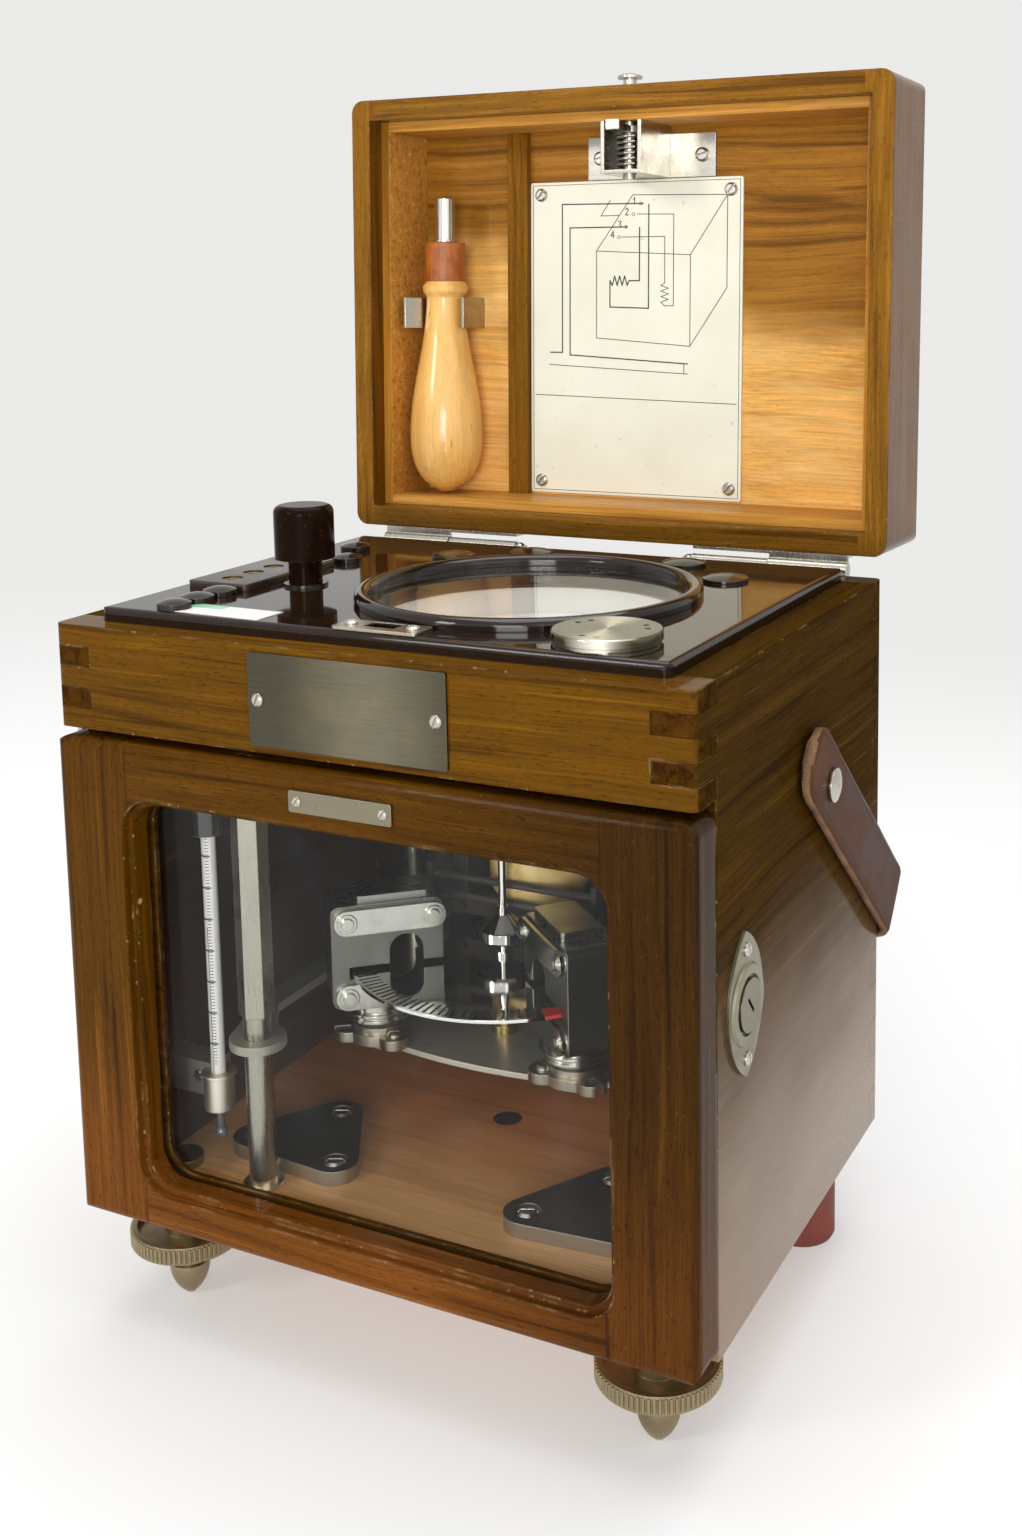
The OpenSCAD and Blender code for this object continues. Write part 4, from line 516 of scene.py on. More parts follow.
def metal(name, color, rough, brush=(1, 1, 1), brushed=0.25, stain=(0.2, 0.17, 0.12), stained=0.25,
          scale=900.0, edge_light=1.25, metalness=1.0, seed=0.0, sides=None, foot=None, glow=None):
    """Metal with directional brushing, tarnish clouds, spots and brighter rubbed edges.

    sides: colour of the upright faces. foot: height below which the metal is pale.
    glow: the middle and half width, in x, of a painted highlight, a band of brighter colour.
    """
    s = Shade(name, metal=metalness)
    soft, edge = s.rim(0.0004)
    lines = s.noise(s.space(scale=brush, shift=(seed, seed, seed)), scale * 2.6, 2.0, 0.5)
    cloud = s.noise(s.space(shift=(seed, 0, seed)), 60.0, 3.0, 0.6)
    spots = s.noise(s.space(shift=(0, seed, seed)), 520.0, 1.0, 0.5)
    col = s.tint(color, s.tones(lines, grey(0.6), grey(1.25)), brushed * 0.35)
    col = s.mix(s.fade(cloud, 0.48, 0.85, 0.0, stained), col, stain)
    col = s.mix(s.fade(spots, 0.70, 0.76, 0.0, stained * 0.7), col, scaled(stain, 0.7))
    col = s.mix(s.mul(edge, 0.5), col, tuple(min(1.0, c) for c in scaled(color, edge_light)))
    if glow:
        middle, half_width = glow
        # painted highlight: a brighter band across the metal
        band = s.fade(s.off(s.xyz()[0], middle), half_width, 0.0)
        col = s.mix(band, col, s.tint(col, (2.2, 2.2, 2.25)))
    if foot:
        col = s.mix(s.fade(s.xyz()[2], foot, foot - 0.0002), col, (0.80, 0.70, 0.52))
    if sides:
        col = s.mix(s.fade(s.abs(s.xyz(s.facing())[2]), 0.5, 0.3), col, sides)
    r = s.add(s.vary(lines, rough * 0.9, rough * 1.1), s.fade(cloud, 0.4, 0.8, 0.0, 0.10), True)
    return s.out(col, r, s.bump(lines, 0.00001, 0.04, soft))


dress(metal("nickel_plate", (0.500, 0.470, 0.410), 0.24, brush=(1, 1, 0.05), seed=0.3),
      "case_hinge_leaves", "door_hinge_leaves", "lid_hinge_leaves", "latch_button", "strap_studs")
dress(metal("turned_steel", (0.520, 0.500, 0.455), 0.28, seed=1.3), "case_screws", "lid_screws", "latch_spring")
dress(metal("bracket_nickel", (0.50, 0.48, 0.43), 0.22, brush=(0.06, 1, 1), seed=2.3, stained=0.3),
      "latch_base")
dress(metal("clip_steel", (0.42, 0.38, 0.31), 0.27, brush=(1, 1, 0.08), seed=3.3), "tool_clip")
dress(metal("barrel_metal", (0.200, 0.180, 0.115), 0.34, seed=2.9, stained=0.4), "lock_barrel")
# the notice plate carries a painted highlight band
dress(metal("notice_nickel", (0.086, 0.078, 0.053), 0.34, brush=(0.02, 1, 1), brushed=1.0,
            stain=(0.13, 0.105, 0.06), stained=0.45, seed=4.1, scale=1400.0, glow=(0.008, 0.034)),
      "notice_plate")
dress(metal("number_nickel", (0.250, 0.228, 0.155), 0.32, brush=(0.02, 1, 1), brushed=0.35,
            stain=(0.20, 0.16, 0.09), stained=0.4, seed=4.6, scale=1400.0), "number_plate")
dress(metal("lock_nickel", (0.260, 0.245, 0.175), 0.38, brush=(1, 1, 0.05), stained=0.5,
            stain=(0.16, 0.14, 0.08), seed=5.9), "lock_case")
dress(metal("catch_steel", (0.45, 0.41, 0.34), 0.26, brush=(0.04, 1, 1), seed=6.4), "catch_plate")
dress(metal("pillar_nickel", (0.36, 0.345, 0.295), 0.27, brush=(1, 1, 0.03), seed=7.2, stained=0.15,
            foot=0.0513), "pillars")
dress(metal("arm_steel", (0.30, 0.285, 0.225), 0.34, brush=(1, 0.04, 1), seed=8.8, metalness=0.45,
            edge_light=2.2), "bracket_arm")
dress(metal("foot_nickel_brass", (0.330, 0.270, 0.165), 0.40, brush=(1, 1, 0.3), stain=(0.10, 0.075, 0.035),
            stained=0.6, seed=10.7, edge_light=1.6), "level_foot_left", "level_foot_right", "foot_bushes")
dress(metal("socket_brass", (0.42, 0.31, 0.13), 0.38, seed=11.1, stained=0.5), "terminal_sleeves")
dress(metal("bearing_brass", (0.52, 0.40, 0.18), 0.28, seed=12.1), "rotor_bearings")
dress(metal("clip_white_metal", (0.70, 0.66, 0.57), 0.42, seed=13.1, stained=0.15), "thermometer_clip")
dress(metal("floor_plate_steel", (0.150, 0.140, 0.120), 0.42, brush=(1, 0.05, 1), seed=14.1,
            stain=(0.06, 0.055, 0.045), stained=0.35, sides=(0.46, 0.43, 0.36)), "floor_plates")
dress(metal("base_nickel", (0.46, 0.42, 0.34), 0.34, seed=15.3, stained=0.35), "magnet_bases")
# painted highlight: the upright faces are paler, for the bright line along the plate's edge
dress(metal("plate_steel", (0.40, 0.373, 0.292), 0.30, brush=(0.05, 1, 1), seed=3.3, stained=0.3,
            metalness=0.5, stain=(0.09, 0.085, 0.07), sides=(0.66, 0.62, 0.54)), "frame_plate")


def magnet_metal():
    """Dark forged bow, bright link plates and turntable, by the distance from the bow's middle plane."""
    s = Shade("magnet_nickel", metal=1.0)
    soft, edge = s.rim(0.0005)
    x, y, z = s.xyz()
    # both magnets stand 39 mm beside the rotor's axis and are turned, mirrored, about their own
    rotor_x, beside, magnet_y = -0.002, 0.039, -0.036874
    turn = math.atan2(22, 39) + math.radians(12)
    lx = s.sub(beside, s.off(x, rotor_x))
    ly = s.sub(y, magnet_y)
    from_plane = s.abs(s.add(s.mul(lx, -math.sin(turn)), s.mul(ly, math.cos(turn))))
    plates = s.fade(from_plane, 0.00930, 0.00936)
    turntable = s.fade(z, 0.0975, 0.0970)
    top = s.fade(z, 0.1336, 0.1339)
    bright = s.most(s.most(plates, turntable), s.mul(top, 0.45), True)
    cloud = s.noise(s.pos(), 90.0, 3.0, 0.6)
    lines = s.noise(s.space(scale=(1, 1, 0.08)), 2400.0, 2.0)
    col = s.mix(bright, (0.165, 0.165, 0.148), (0.50, 0.498, 0.455))
    col = s.mix(s.fade(cloud, 0.45, 0.8, 0.0, 0.4), col, s.tint(col, (0.55, 0.53, 0.48)))
    col = s.mix(s.vary(lines, 0.0, 0.25), col, s.tint(col, (1.3, 1.3, 1.3)))
    col = s.mix(s.mul(edge, 0.7), col, (0.62, 0.61, 0.55))
    r = s.add(s.fade(bright, 0.0, 1.0, 0.34, 0.17), s.fade(cloud, 0.4, 0.8, 0.0, 0.10))
    return s.out(col, r, s.bump(lines, 0.00001, 0.04, soft))


def turned(name, color, rough, axis, strength, stain=0.2):
    """Metal that was turned or brushed in circles round an upright axis: its parts, to finish and put out."""
    s = Shade(name, metal=1.0)
    soft, _ = s.rim(0.0003)
    r, angle, z = s.polar(*axis)
    rings = s.noise(s.joined(r, s.mul(z, 0.5), 0.0), 2600.0, 3.0, 0.6)
    cloud = s.noise(s.pos(), 80.0, 3.0)
    col = s.tint(color, s.tones(rings, grey(0.6), grey(1.2)), strength)
    col = s.mix(s.fade(cloud, 0.5, 0.8, 0.0, stain), col, (0.25, 0.22, 0.16))
    rough = s.vary(rings, rough * 0.75, rough * 1.3)
    return s, col, rough, s.bump(rings, 0.00001, 0.5, soft), r, angle, z


def cover_steel():
    """Turned cover with two painted highlights across it, bright wedges of colour."""
    s, col, rough, normal, _, angle, _ = turned("cover_steel", (0.150, 0.138, 0.092), 0.20, centre(73.4, 26.5), 0.6)
    # painted highlight: two bright wedges, set where the lamps would glint on the turning
    wedge = s.math("POWER", s.abs(s.math("COSINE", s.sub(angle, 1.75))), 14.0)
    return s.out(s.mix(s.mul(wedge, 0.85), col, (0.80, 0.775, 0.66)), rough, normal)


def rotor_aluminium():
    """Bright disc with dark strobe marks round its edge and one red mark."""
    s, col, rough, normal, r, angle, z = turned("rotor_aluminium", (0.80, 0.79, 0.76), 0.075, centre(-2.0, 96),
                                                0.2, stain=0.1)
    on_disc = s.between(z, 0.1085, 0.1088, 0.1105, 0.1108)
    top = s.fade(s.xyz(s.facing())[2], 0.5, 0.7)
    ticks = s.mul(s.round_marks(angle, 120, 0.22, 0.17), s.between(r, 0.0459, 0.0461, 0.0529, 0.0531))
    ticks = s.mul(ticks, s.mul(top, on_disc))
    red = s.mul(s.fade(s.off(angle, -0.72), 0.10, 0.09), s.fade(r, 0.0480, 0.0482))
    red = s.mul(red, on_disc)
    col = s.mix(ticks, col, (0.015, 0.015, 0.014))
    col = s.mix(red, col, (0.60, 0.03, 0.02))
    paint = s.most(ticks, red)
    return s.out(col, s.add(rough, s.mul(paint, 0.25)), normal, metal=s.sub(1.0, paint))


dress(magnet_metal(), "magnet_left", "magnet_right")
dress(cover_steel(), "cover_disc")
dress(rotor_aluminium(), "rotor")


# ---------------------------------------------------------------- resin, paint and others

def bakelite(name, base, fleck, rough, wear, seed, wear_color=(0.42, 0.27, 0.13), spec=0.5):
    """Polished moulded resin: fine mottling, faint polishing marks, dust specks and rubbed edges."""
    s = Shade(name, ior=1.46, spec=spec)
    soft, edge = s.rim(0.0007)
    mottle = s.noise(s.space(shift=(seed, seed, 0)), 260.0, 4.0, 0.6, 0.6)
    swirl = s.noise(s.space(shift=(seed, 0, seed)), 24.0, 3.0, 0.5, 0.8)
    col = s.mix(s.fade(mottle, 0.4, 0.7, 0.0, 0.35), base, fleck)
    col = s.mix(s.fade(swirl, 0.35, 0.7, 0.0, 0.35), col, scaled(base, 1.5))
    patch = s.noise(s.space(shift=(0, seed, 0)), 70.0, 3.0, 0.6)
    worn = s.mul(s.mul(edge, wear), s.fade(patch, 0.35, 0.6))
    col = s.mix(worn, col, wear_color)
    col = s.mix(s.fade(s.noise(s.pos(), 1500.0, 1.0), 0.76, 0.80, 0.0, 0.25), col, (0.45, 0.40, 0.33))
    r = s.add(s.vary(swirl, rough, rough * 2.2), s.mul(worn, 0.35), True)
    wavy = s.bump(s.noise(s.pos(), 35.0, 2.0), 0.00025, 0.25, soft)
    return s.out(col, r, s.bump(mottle, 0.000004, 0.25, wavy))


dress(bakelite("panel_bakelite", (0.0130, 0.0062, 0.0030), (0.030, 0.014, 0.006), 0.035, 0.4, 1.0,
               wear_color=(0.16, 0.095, 0.045), spec=0.42), "instrument_panel")
dress(bakelite("cap_bakelite", (0.0120, 0.0058, 0.0030), (0.028, 0.013, 0.006), 0.06, 0.35, 2.0), "round_caps")
dress(bakelite("block_bakelite", (0.0300, 0.0170, 0.0095), (0.055, 0.032, 0.018), 0.16, 0.4, 3.0), "terminal_block")
dress(bakelite("knob_bakelite", (0.0100, 0.0038, 0.0018), (0.021, 0.008, 0.0035), 0.07, 0.4, 4.0, spec=0.04),
      "lock_knob")
dress(bakelite("ring_bakelite", (0.0085, 0.0045, 0.0028), (0.018, 0.009, 0.005), 0.05, 0.2, 5.0), "dial_ring")


def enamel(name, color, rough, seed, bump=0.00002, spread=0.12, chip=None):
    """Paint or enamel with orange-peel bump, slow tone changes and chipped edges."""
    s = Shade(name)
    soft, edge = s.rim(0.0005)
    cloud = s.noise(s.space(shift=(seed, 0, 0)), 50.0, 3.0)
    peel = s.noise(s.space(shift=(0, seed, 0)), 900.0, 2.0)
    col = s.mix(s.vary(cloud, 0.0, spread), color, scaled(color, 0.55))
    if chip:
        col = s.mix(s.mul(edge, s.fade(peel, 0.5, 0.6)), col, chip)
    return s.out(col, s.vary(cloud, rough * 0.85, rough * 1.25), s.bump(peel, bump, 0.5, soft))


dress(enamel("frame_paint", (0.030, 0.026, 0.021), 0.42, 4.0, bump=0.00004, chip=(0.30, 0.27, 0.22)), "frame_back")
dress(enamel("pointer_paint", (0.02, 0.02, 0.02), 0.4, 5.0), "dial_pointer")
dress(enamel("register_white", (0.93, 0.925, 0.90), 0.22, 6.0, spread=0.05), "register_housing")


def dial_face():
    """White dial: fine ring of marks round the edge, nothing else printed."""
    s = Shade("dial_face", rough=0.28)
    r, angle, _ = s.polar(*centre(20, 79))
    ticks = s.mul(s.round_marks(angle, 100, 0.09, 0.06), s.between(r, 0.0389, 0.0391, 0.0419, 0.0421))
    ring = s.fade(s.off(r, 0.0389), 0.0002, 0.0001)
    cloud = s.noise(s.pos(), 40.0, 3.0)
    col = s.mix(s.vary(cloud, 0.0, 0.15), (0.96, 0.955, 0.93), (0.92, 0.90, 0.85))
    col = s.mix(s.most(ticks, ring), col, (0.03, 0.03, 0.03))
    return s.out(col, s.vary(cloud, 0.25, 0.35), s.bump(cloud, 0.00003, 0.3))


def iron_core():
    """Stacked core plates: thin level lines and dull varnish."""
    s = Shade("core_plates", metal=0.35)
    soft, _ = s.rim(0.0004)
    sheets_per_metre = 2000.0
    gap = s.marks(s.xyz()[1], sheets_per_metre, 0.38, 0.46)
    blot = s.noise(s.pos(), 90.0, 4.0, 0.6)
    col = s.tones(blot, (0.035, 0.030, 0.026), (0.085, 0.072, 0.060))
    col = s.mix(s.mul(gap, 0.7), col, (0.01, 0.009, 0.008))
    return s.out(col, s.vary(blot, 0.35, 0.55), s.bump(s.sub(1.0, gap), 0.00005, 0.5, soft))


def tape():
    """Ochre varnished tape, wrapped in overlapping turns."""
    s = Shade("varnished_tape", coat=0.8, coat_rough=0.14)
    soft, edge = s.rim(0.0005)
    weave = s.noise(s.space(scale=(1, 1, 0.25)), 1500.0, 2.0)
    cloth = s.noise(s.space(scale=(0.25, 0.25, 1)), 1600.0, 2.0)
    blot = s.noise(s.pos(), 120.0, 4.0, 0.6)
    col = s.ramp(blot, [(0.3, (0.62, 0.38, 0.095)), (0.5, (0.90, 0.61, 0.200)), (0.7, (0.96, 0.74, 0.330))])
    col = s.mix(s.fade(weave, 0.4, 0.7, 0.0, 0.35), col, (0.80, 0.64, 0.34))
    col = s.mix(s.mul(edge, 0.5), col, (0.22, 0.11, 0.02))
    return s.out(col, s.vary(blot, 0.3, 0.5), s.bump(s.add(weave, cloth), 0.00004, 0.6, soft))


def rubber():
    """Dark red rubber with a dry skin."""
    s = Shade("red_rubber_skin")
    soft, edge = s.rim(0.0012)
    skin = s.noise(s.pos(), 900.0, 3.0, 0.6)
    bloom = s.noise(s.pos(), 90.0, 4.0, 0.6)
    col = s.tones(bloom, (0.125, 0.022, 0.012), (0.215, 0.045, 0.025))
    col = s.mix(s.mul(edge, 0.4), col, (0.38, 0.12, 0.08))
    return s.out(col, s.vary(bloom, 0.5, 0.75), s.bump(skin, 0.00006, 0.5, soft))


def card():
    """Ivory card with age spots and browned edges."""
    s = Shade("ivory_card", rough=0.4)
    soft, edge = s.rim(0.0005)
    cloud = s.noise(s.pos(), 28.0, 3.0, 0.6)
    fibre = s.noise(s.pos(), 1300.0, 3.0)
    col = s.tones(cloud, (0.80, 0.785, 0.63), (0.87, 0.86, 0.72))
    col = s.mix(s.mul(edge, 0.35), col, (0.55, 0.49, 0.32))
    spots = s.fade(s.noise(s.space(shift=(2, 0, 0)), 300.0, 2.0), 0.72, 0.76, 0.0, 0.35)
    col = s.mix(spots, col, (0.52, 0.42, 0.22))
    return s.out(col, s.vary(cloud, 0.32, 0.45), s.bump(fibre, 0.00001, 0.5, soft))


def thermometer_glass():
    """White-backed glass stem with a fine scale and a thin dark thread; black cap at the top, bulb below."""
    s = Shade("thermometer_glass", coat=0.9, coat_rough=0.03)
    x, y, z = s.xyz()
    dx = s.sub(x, -75 * MM)
    from_middle = s.abs(dx)
    small_step, big_step = 0.0011, 0.011
    small = s.mul(s.marks(z, 1 / small_step, 0.16, 0.10), s.between(dx, 0.0002, 0.0004, 0.0013, 0.0015))
    big = s.mul(s.marks(z, 1 / big_step, 0.030, 0.022), s.fade(from_middle, 0.0019, 0.0017))
    span = s.mul(s.between(z, 0.0860, 0.0865, 0.1745, 0.1750), s.fade(y, -0.0848, -0.0852))
    marks = s.mul(s.most(small, big), span)
    thread = s.mul(s.fade(from_middle, 0.00022, 0.00014), s.fade(z, 0.1350, 0.1345))
    cap = s.fade(z, 0.1668, 0.1672)
    bulb = s.fade(z, 0.0722, 0.0718)
    cloud = s.noise(s.pos(), 60.0, 2.0)
    col = s.mix(s.vary(cloud, 0.0, 0.3), (0.72, 0.71, 0.68), (0.60, 0.59, 0.56))
    col = s.mix(marks, col, (0.03, 0.03, 0.03))
    col = s.mix(s.mul(thread, 0.8), col, (0.05, 0.05, 0.06))
    col = s.mix(cap, col, (0.012, 0.011, 0.010))
    col = s.mix(bulb, col, (0.10, 0.10, 0.11))
    return s.out(col, s.vary(cloud, 0.18, 0.28), s.bump(cloud, 0.00002, 0.4))


def tool_metal():
    """Red-brown fibre collar, steel nose above it."""
    s = Shade("collar_and_nose")
    soft, _ = s.rim(0.0004)
    nose = s.fade(s.xyz()[2], 0.36225, 0.36245)
    layers = s.noise(s.space(scale=(1, 1, 0.05)), 900.0, 3.0)
    tone = s.noise(s.pos(), 160.0, 3.0)
    fibre = s.tones(tone, (0.26, 0.055, 0.006), (0.46, 0.125, 0.016))
    fibre = s.mix(s.fade(layers, 0.4, 0.7, 0.0, 0.3), fibre, (0.55, 0.20, 0.04))
    steel = s.tones(layers, (0.46, 0.43, 0.37), (0.68, 0.65, 0.58))
    return s.out(s.mix(nose, fibre, steel), s.fade(nose, 0.0, 1.0, 0.42, 0.26), s.bump(layers, 0.00002, 0.5, soft),
                 metal=nose)


def clear(name, low=0.012, high=0.45):
    """Thin pane: lets light straight through and mirrors a little, more at a slant, with faint smears."""
    s = Shade(name)
    s.t.nodes.remove(s.p)
    see = s.made("BsdfTransparent", {"Color": (0.985, 0.99, 0.985, 1.0)})
    shine = s.made("BsdfGlossy", {"Roughness": 0.015})
    haze = s.made("BsdfDiffuse", {"Color": (0.8, 0.8, 0.8, 1.0)})
    slant = s.made("LayerWeight", {"Blend": 0.5}, "Facing")
    pane = s.shaders(s.math("MULTIPLY_ADD", s.math("POWER", slant, 5.0), high, low), see, shine)
    cloud = s.noise(s.space(scale=(1, 1, 0.5)), 45.0, 4.0, 0.65)
    pane = s.shaders(s.fade(cloud, 0.45, 0.85, 0.0, 0.010), pane, haze)
    s.put(s.find("OUTPUT_MATERIAL").inputs["Surface"], pane)
    return s.m


dress(dial_face(), "dial_plate")
dress(iron_core(), "shunt_core", "series_magnet")
dress(tape(), "shunt_coil")
dress(rubber(), "rear_feet")
dress(card(), "diagram_plate")
dress(thermometer_glass(), "thermometer")
dress(tool_metal(), "tool_shank")
dress(clear("door_pane"), "door_glass")
dress(clear("dial_pane", low=0.02, high=0.7), "dial_glass")


# ---------------------------------------------------------------- new pieces

def mesh_object(name, bm, material, smooth=True):
    me = bpy.data.meshes.new(name)
    bm.to_mesh(me)
    bm.free()
    me.materials.append(material)
    for p in me.polygons:
        p.use_smooth = smooth
    o = bpy.data.objects.new(name, me)
    scene.collection.objects.link(o)
    return o


def mesh_piece(name, bm, body, material, smooth=True, replaces=()):
    bmesh.ops.recalc_face_normals(bm, faces=bm.faces)
    o = mesh_object(name, bm, material, smooth)
    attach(o, body)
    if replaces:
        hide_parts(*replaces)
    return o


def leather():
    """Dark red-brown strap leather: pebbled grain, creases, rubbed edges and a pressed line beside them."""
    s = Shade("strap_leather", coat=0.05, coat_rough=0.28, spec=0.05)
    uv = s.tc["UV"]
    soft, edge = s.rim(0.0007)
    pebbles = s.cells(s.pos(), 1300.0)
    fine = s.noise(s.pos(), 2600.0, 3.0)
    blot = s.noise(s.pos(), 45.0, 4.0, 0.6)
    crease = s.noise(s.space(scale=(0.25, 6.0, 1.0), src=uv), 6.0, 4.0, 0.65, 0.7)
    col = s.ramp(blot, [(0.3, (0.040, 0.0125, 0.0050)), (0.55, (0.072, 0.0245, 0.0090)),
                        (0.75, (0.115, 0.043, 0.016))])
    col = s.mix(s.fade(crease, 0.62, 0.72, 0.0, 0.45), col, (0.020, 0.007, 0.004))
    line = s.fade(s.off(s.off(s.xyz(uv)[0], 0.5), 0.40), 0.022, 0.010)
    col = s.mix(s.mul(line, 0.5), col, (0.018, 0.007, 0.004))
    col = s.mix(s.mul(edge, 0.35), col, (0.20, 0.10, 0.045))
    h = s.sub(s.add(s.mul(pebbles, 0.6), s.mul(fine, 0.3)), s.add(s.fade(crease, 0.6, 0.72), s.mul(line, 1.5)))
    return s.out(col, s.vary(blot, 0.38, 0.58), s.bump(h, 0.00012, 0.6, soft))


def strap_edge_leather():
    """Cut edge of the strap: paler raw leather with layers."""
    s = Shade("strap_cut_edge", spec=0.15)
    fine = s.noise(s.pos(), 2200.0, 3.0)
    tone = s.noise(s.pos(), 120.0, 3.0)
    col = s.tones(tone, (0.075, 0.036, 0.018), (0.22, 0.125, 0.065))
    col = s.mix(s.fade(fine, 0.4, 0.7, 0.0, 0.4), col, (0.36, 0.23, 0.13))
    return s.out(col, s.vary(tone, 0.6, 0.8), s.bump(fine, 0.0001, 0.6))


def strap():
    """One band of leather in a U: up both sides of the case and across behind it. In millimetres."""
    pivot = Vector((0.0, -9.874, 186.0))
    hang = math.radians(41)
    along = Vector((0, math.cos(hang), -math.sin(hang)))
    wide = Vector((0, math.sin(hang), math.cos(hang)))
    half, thick = 12.5, 4.0
    tail, corner, end_radius, end_half = 23.0, 11.0, 9.0, 4.5
    # centre line, seen square to the band: distance to the side, distance behind the studs
    run, reach = 113.8 + thick / 2, 106.5 + thick / 2
    turn_x, turn_y = run - corner, reach - corner

    def straight(x0, y0, x1, y1, steps=40):
        return [(x0 + (x1 - x0) * k / steps, y0 + (y1 - y0) * k / steps) for k in range(steps + 1)]

    def bend(x, first, steps=12):
        angles = [math.radians(first + 90 * k / steps) for k in range(1, steps)]
        return [(x + corner * math.cos(a), turn_y + corner * math.sin(a)) for a in angles]

    path = straight(run, -tail, run, turn_y) + bend(turn_x, 0) + straight(turn_x, reach, -turn_x, reach)
    path += bend(-turn_x, 90) + straight(-run, turn_y, -run, -tail)
    pts = [Vector((x, 0, 0)) + along * y for x, y in path]
    length = [0.0]
    for a, b in zip(pts, pts[1:]):
        length.append(length[-1] + (b - a).length)
    # cross-section: (across -1 to 1, outer side 1 or inner side -1)
    cuts = 16
    sec = [(-1 + 2 * k / cuts, 1) for k in range(cuts + 1)] + [(1 - 2 * k / cuts, -1) for k in range(cuts + 1)]
    n = len(sec)
    bm = bmesh.new()
    uvl = bm.loops.layers.uv.new("UVMap")
    rings = []
    for k, here in enumerate(pts):
        t = (pts[min(len(pts) - 1, k + 1)] - pts[max(0, k - 1)]).normalized()
        outward = wide.cross(t).normalized()
        if outward.dot(here - along * 40) < 0:
            outward = -outward
        end = min(length[k], length[-1] - length[k])
        w = half
        if end < end_radius:
            w = half - end_radius + math.sqrt(max(0.0, end_radius ** 2 - (end_radius - end) ** 2))
            w = max(w, end_half)
        waves = 0.10 * math.sin(length[k] * 0.11) + 0.07 * math.sin(length[k] * 0.37 + 1)
        ring = []
        for across, side in sec:
            lip = thick / 2 * (1.0 - 0.28 * max(0.0, (abs(across) - 0.86) / 0.14) ** 2)
            crown = 0.12 * (1 - across * across)
            groove = -0.16 * math.exp(-((abs(across) - 0.80) / 0.035) ** 2)
            out_by = side * (lip - 0.22 + crown * 0.5 + groove) + waves * 0.5
            p = pivot + here + wide * (across * (w - 0.15)) + outward * out_by
            ring.append(bm.verts.new(p * MM))
        rings.append(ring)
    for k in range(len(rings) - 1):
        for j in range(n):
            i = (j + 1) % n
            corners = ((k, j), (k, i), (k + 1, i), (k + 1, j))
            f = bm.faces.new([rings[a][b] for a, b in corners])
            f.material_index = 1 if j in (cuts, n - 1) else 0  # 1 is the band's cut edge
            for loop, (a, b) in zip(f.loops, corners):
                loop[uvl].uv = ((sec[b][0] + 1) / 2, length[a] / 100)
    for ring in (rings[0], rings[-1]):
        for j in range(cuts):
            f = bm.faces.new((ring[j], ring[j + 1], ring[n - 2 - j], ring[n - 1 - j]))
            f.material_index = 1
    o = mesh_piece("strap_band", bm, "strap", leather(), replaces=("carry_strap",))
    o.data.materials.append(strap_edge_leather())


strap()

# the plate in the lid: its lower middle in millimetres, its upward and outward directions
PLATE_O = Vector((-4.0, 104.22, 258.53))
LID_UP = Vector((0, 0.0349, 0.99939))
LID_OUT = Vector((0, -0.99939, 0.0349))
PLATE_HALF = 46.5


def on_plate(u, v, lift):
    """A point in the frame, from millimetres to the right of, above and off the plate's lower left corner."""
    return (PLATE_O + Vector((u - PLATE_HALF, 0, 0)) + LID_UP * v + LID_OUT * lift) * MM


def ink():
    s = Shade("printing_ink", color=(0.02, 0.02, 0.02), rough=0.45)
    n = s.noise(s.pos(), 700.0, 2.0)
    return s.out(s.ramp(n, [(0.3, (0.012, 0.012, 0.012)), (0.8, (0.06, 0.058, 0.05))]),
                 s.vary(n, 0.4, 0.55), s.bump(n, 0.000005, 0.4))


def stroke(bm, a, b, width):
    """A thin raised bar from a to b, in millimetres on the plate."""
    a, b = Vector(a), Vector(b)
    d = (b - a).normalized()
    n = Vector((-d.y, d.x)) * width / 2
    ext = d * width / 2
    low, high = [], []
    for p in (a - ext + n, a - ext - n, b + ext - n, b + ext + n):
        low.append(bm.verts.new(on_plate(p.x, p.y, -0.02)))
        high.append(bm.verts.new(on_plate(p.x, p.y, 0.05)))
    bm.faces.new(high)
    for k in range(4):
        bm.faces.new((low[k], low[(k + 1) % 4], high[(k + 1) % 4], high[k]))


def poly(bm, width, *pts):
    for a, b in zip(pts, pts[1:]):
        stroke(bm, a, b, width)


DIGITS = (
    ((0.3, 0.75), (0.5, 1.0), (0.5, 0.0)),
    ((0.1, 0.8), (0.3, 1.0), (0.6, 1.0), (0.8, 0.75), (0.1, 0.0), (0.85, 0.0)),
    ((0.1, 0.95), (0.5, 1.0), (0.8, 0.78), (0.45, 0.52), (0.8, 0.25), (0.5, 0.0), (0.1, 0.07)),
    ((0.65, 0.0), (0.65, 1.0), (0.05, 0.3), (0.9, 0.3)),
)


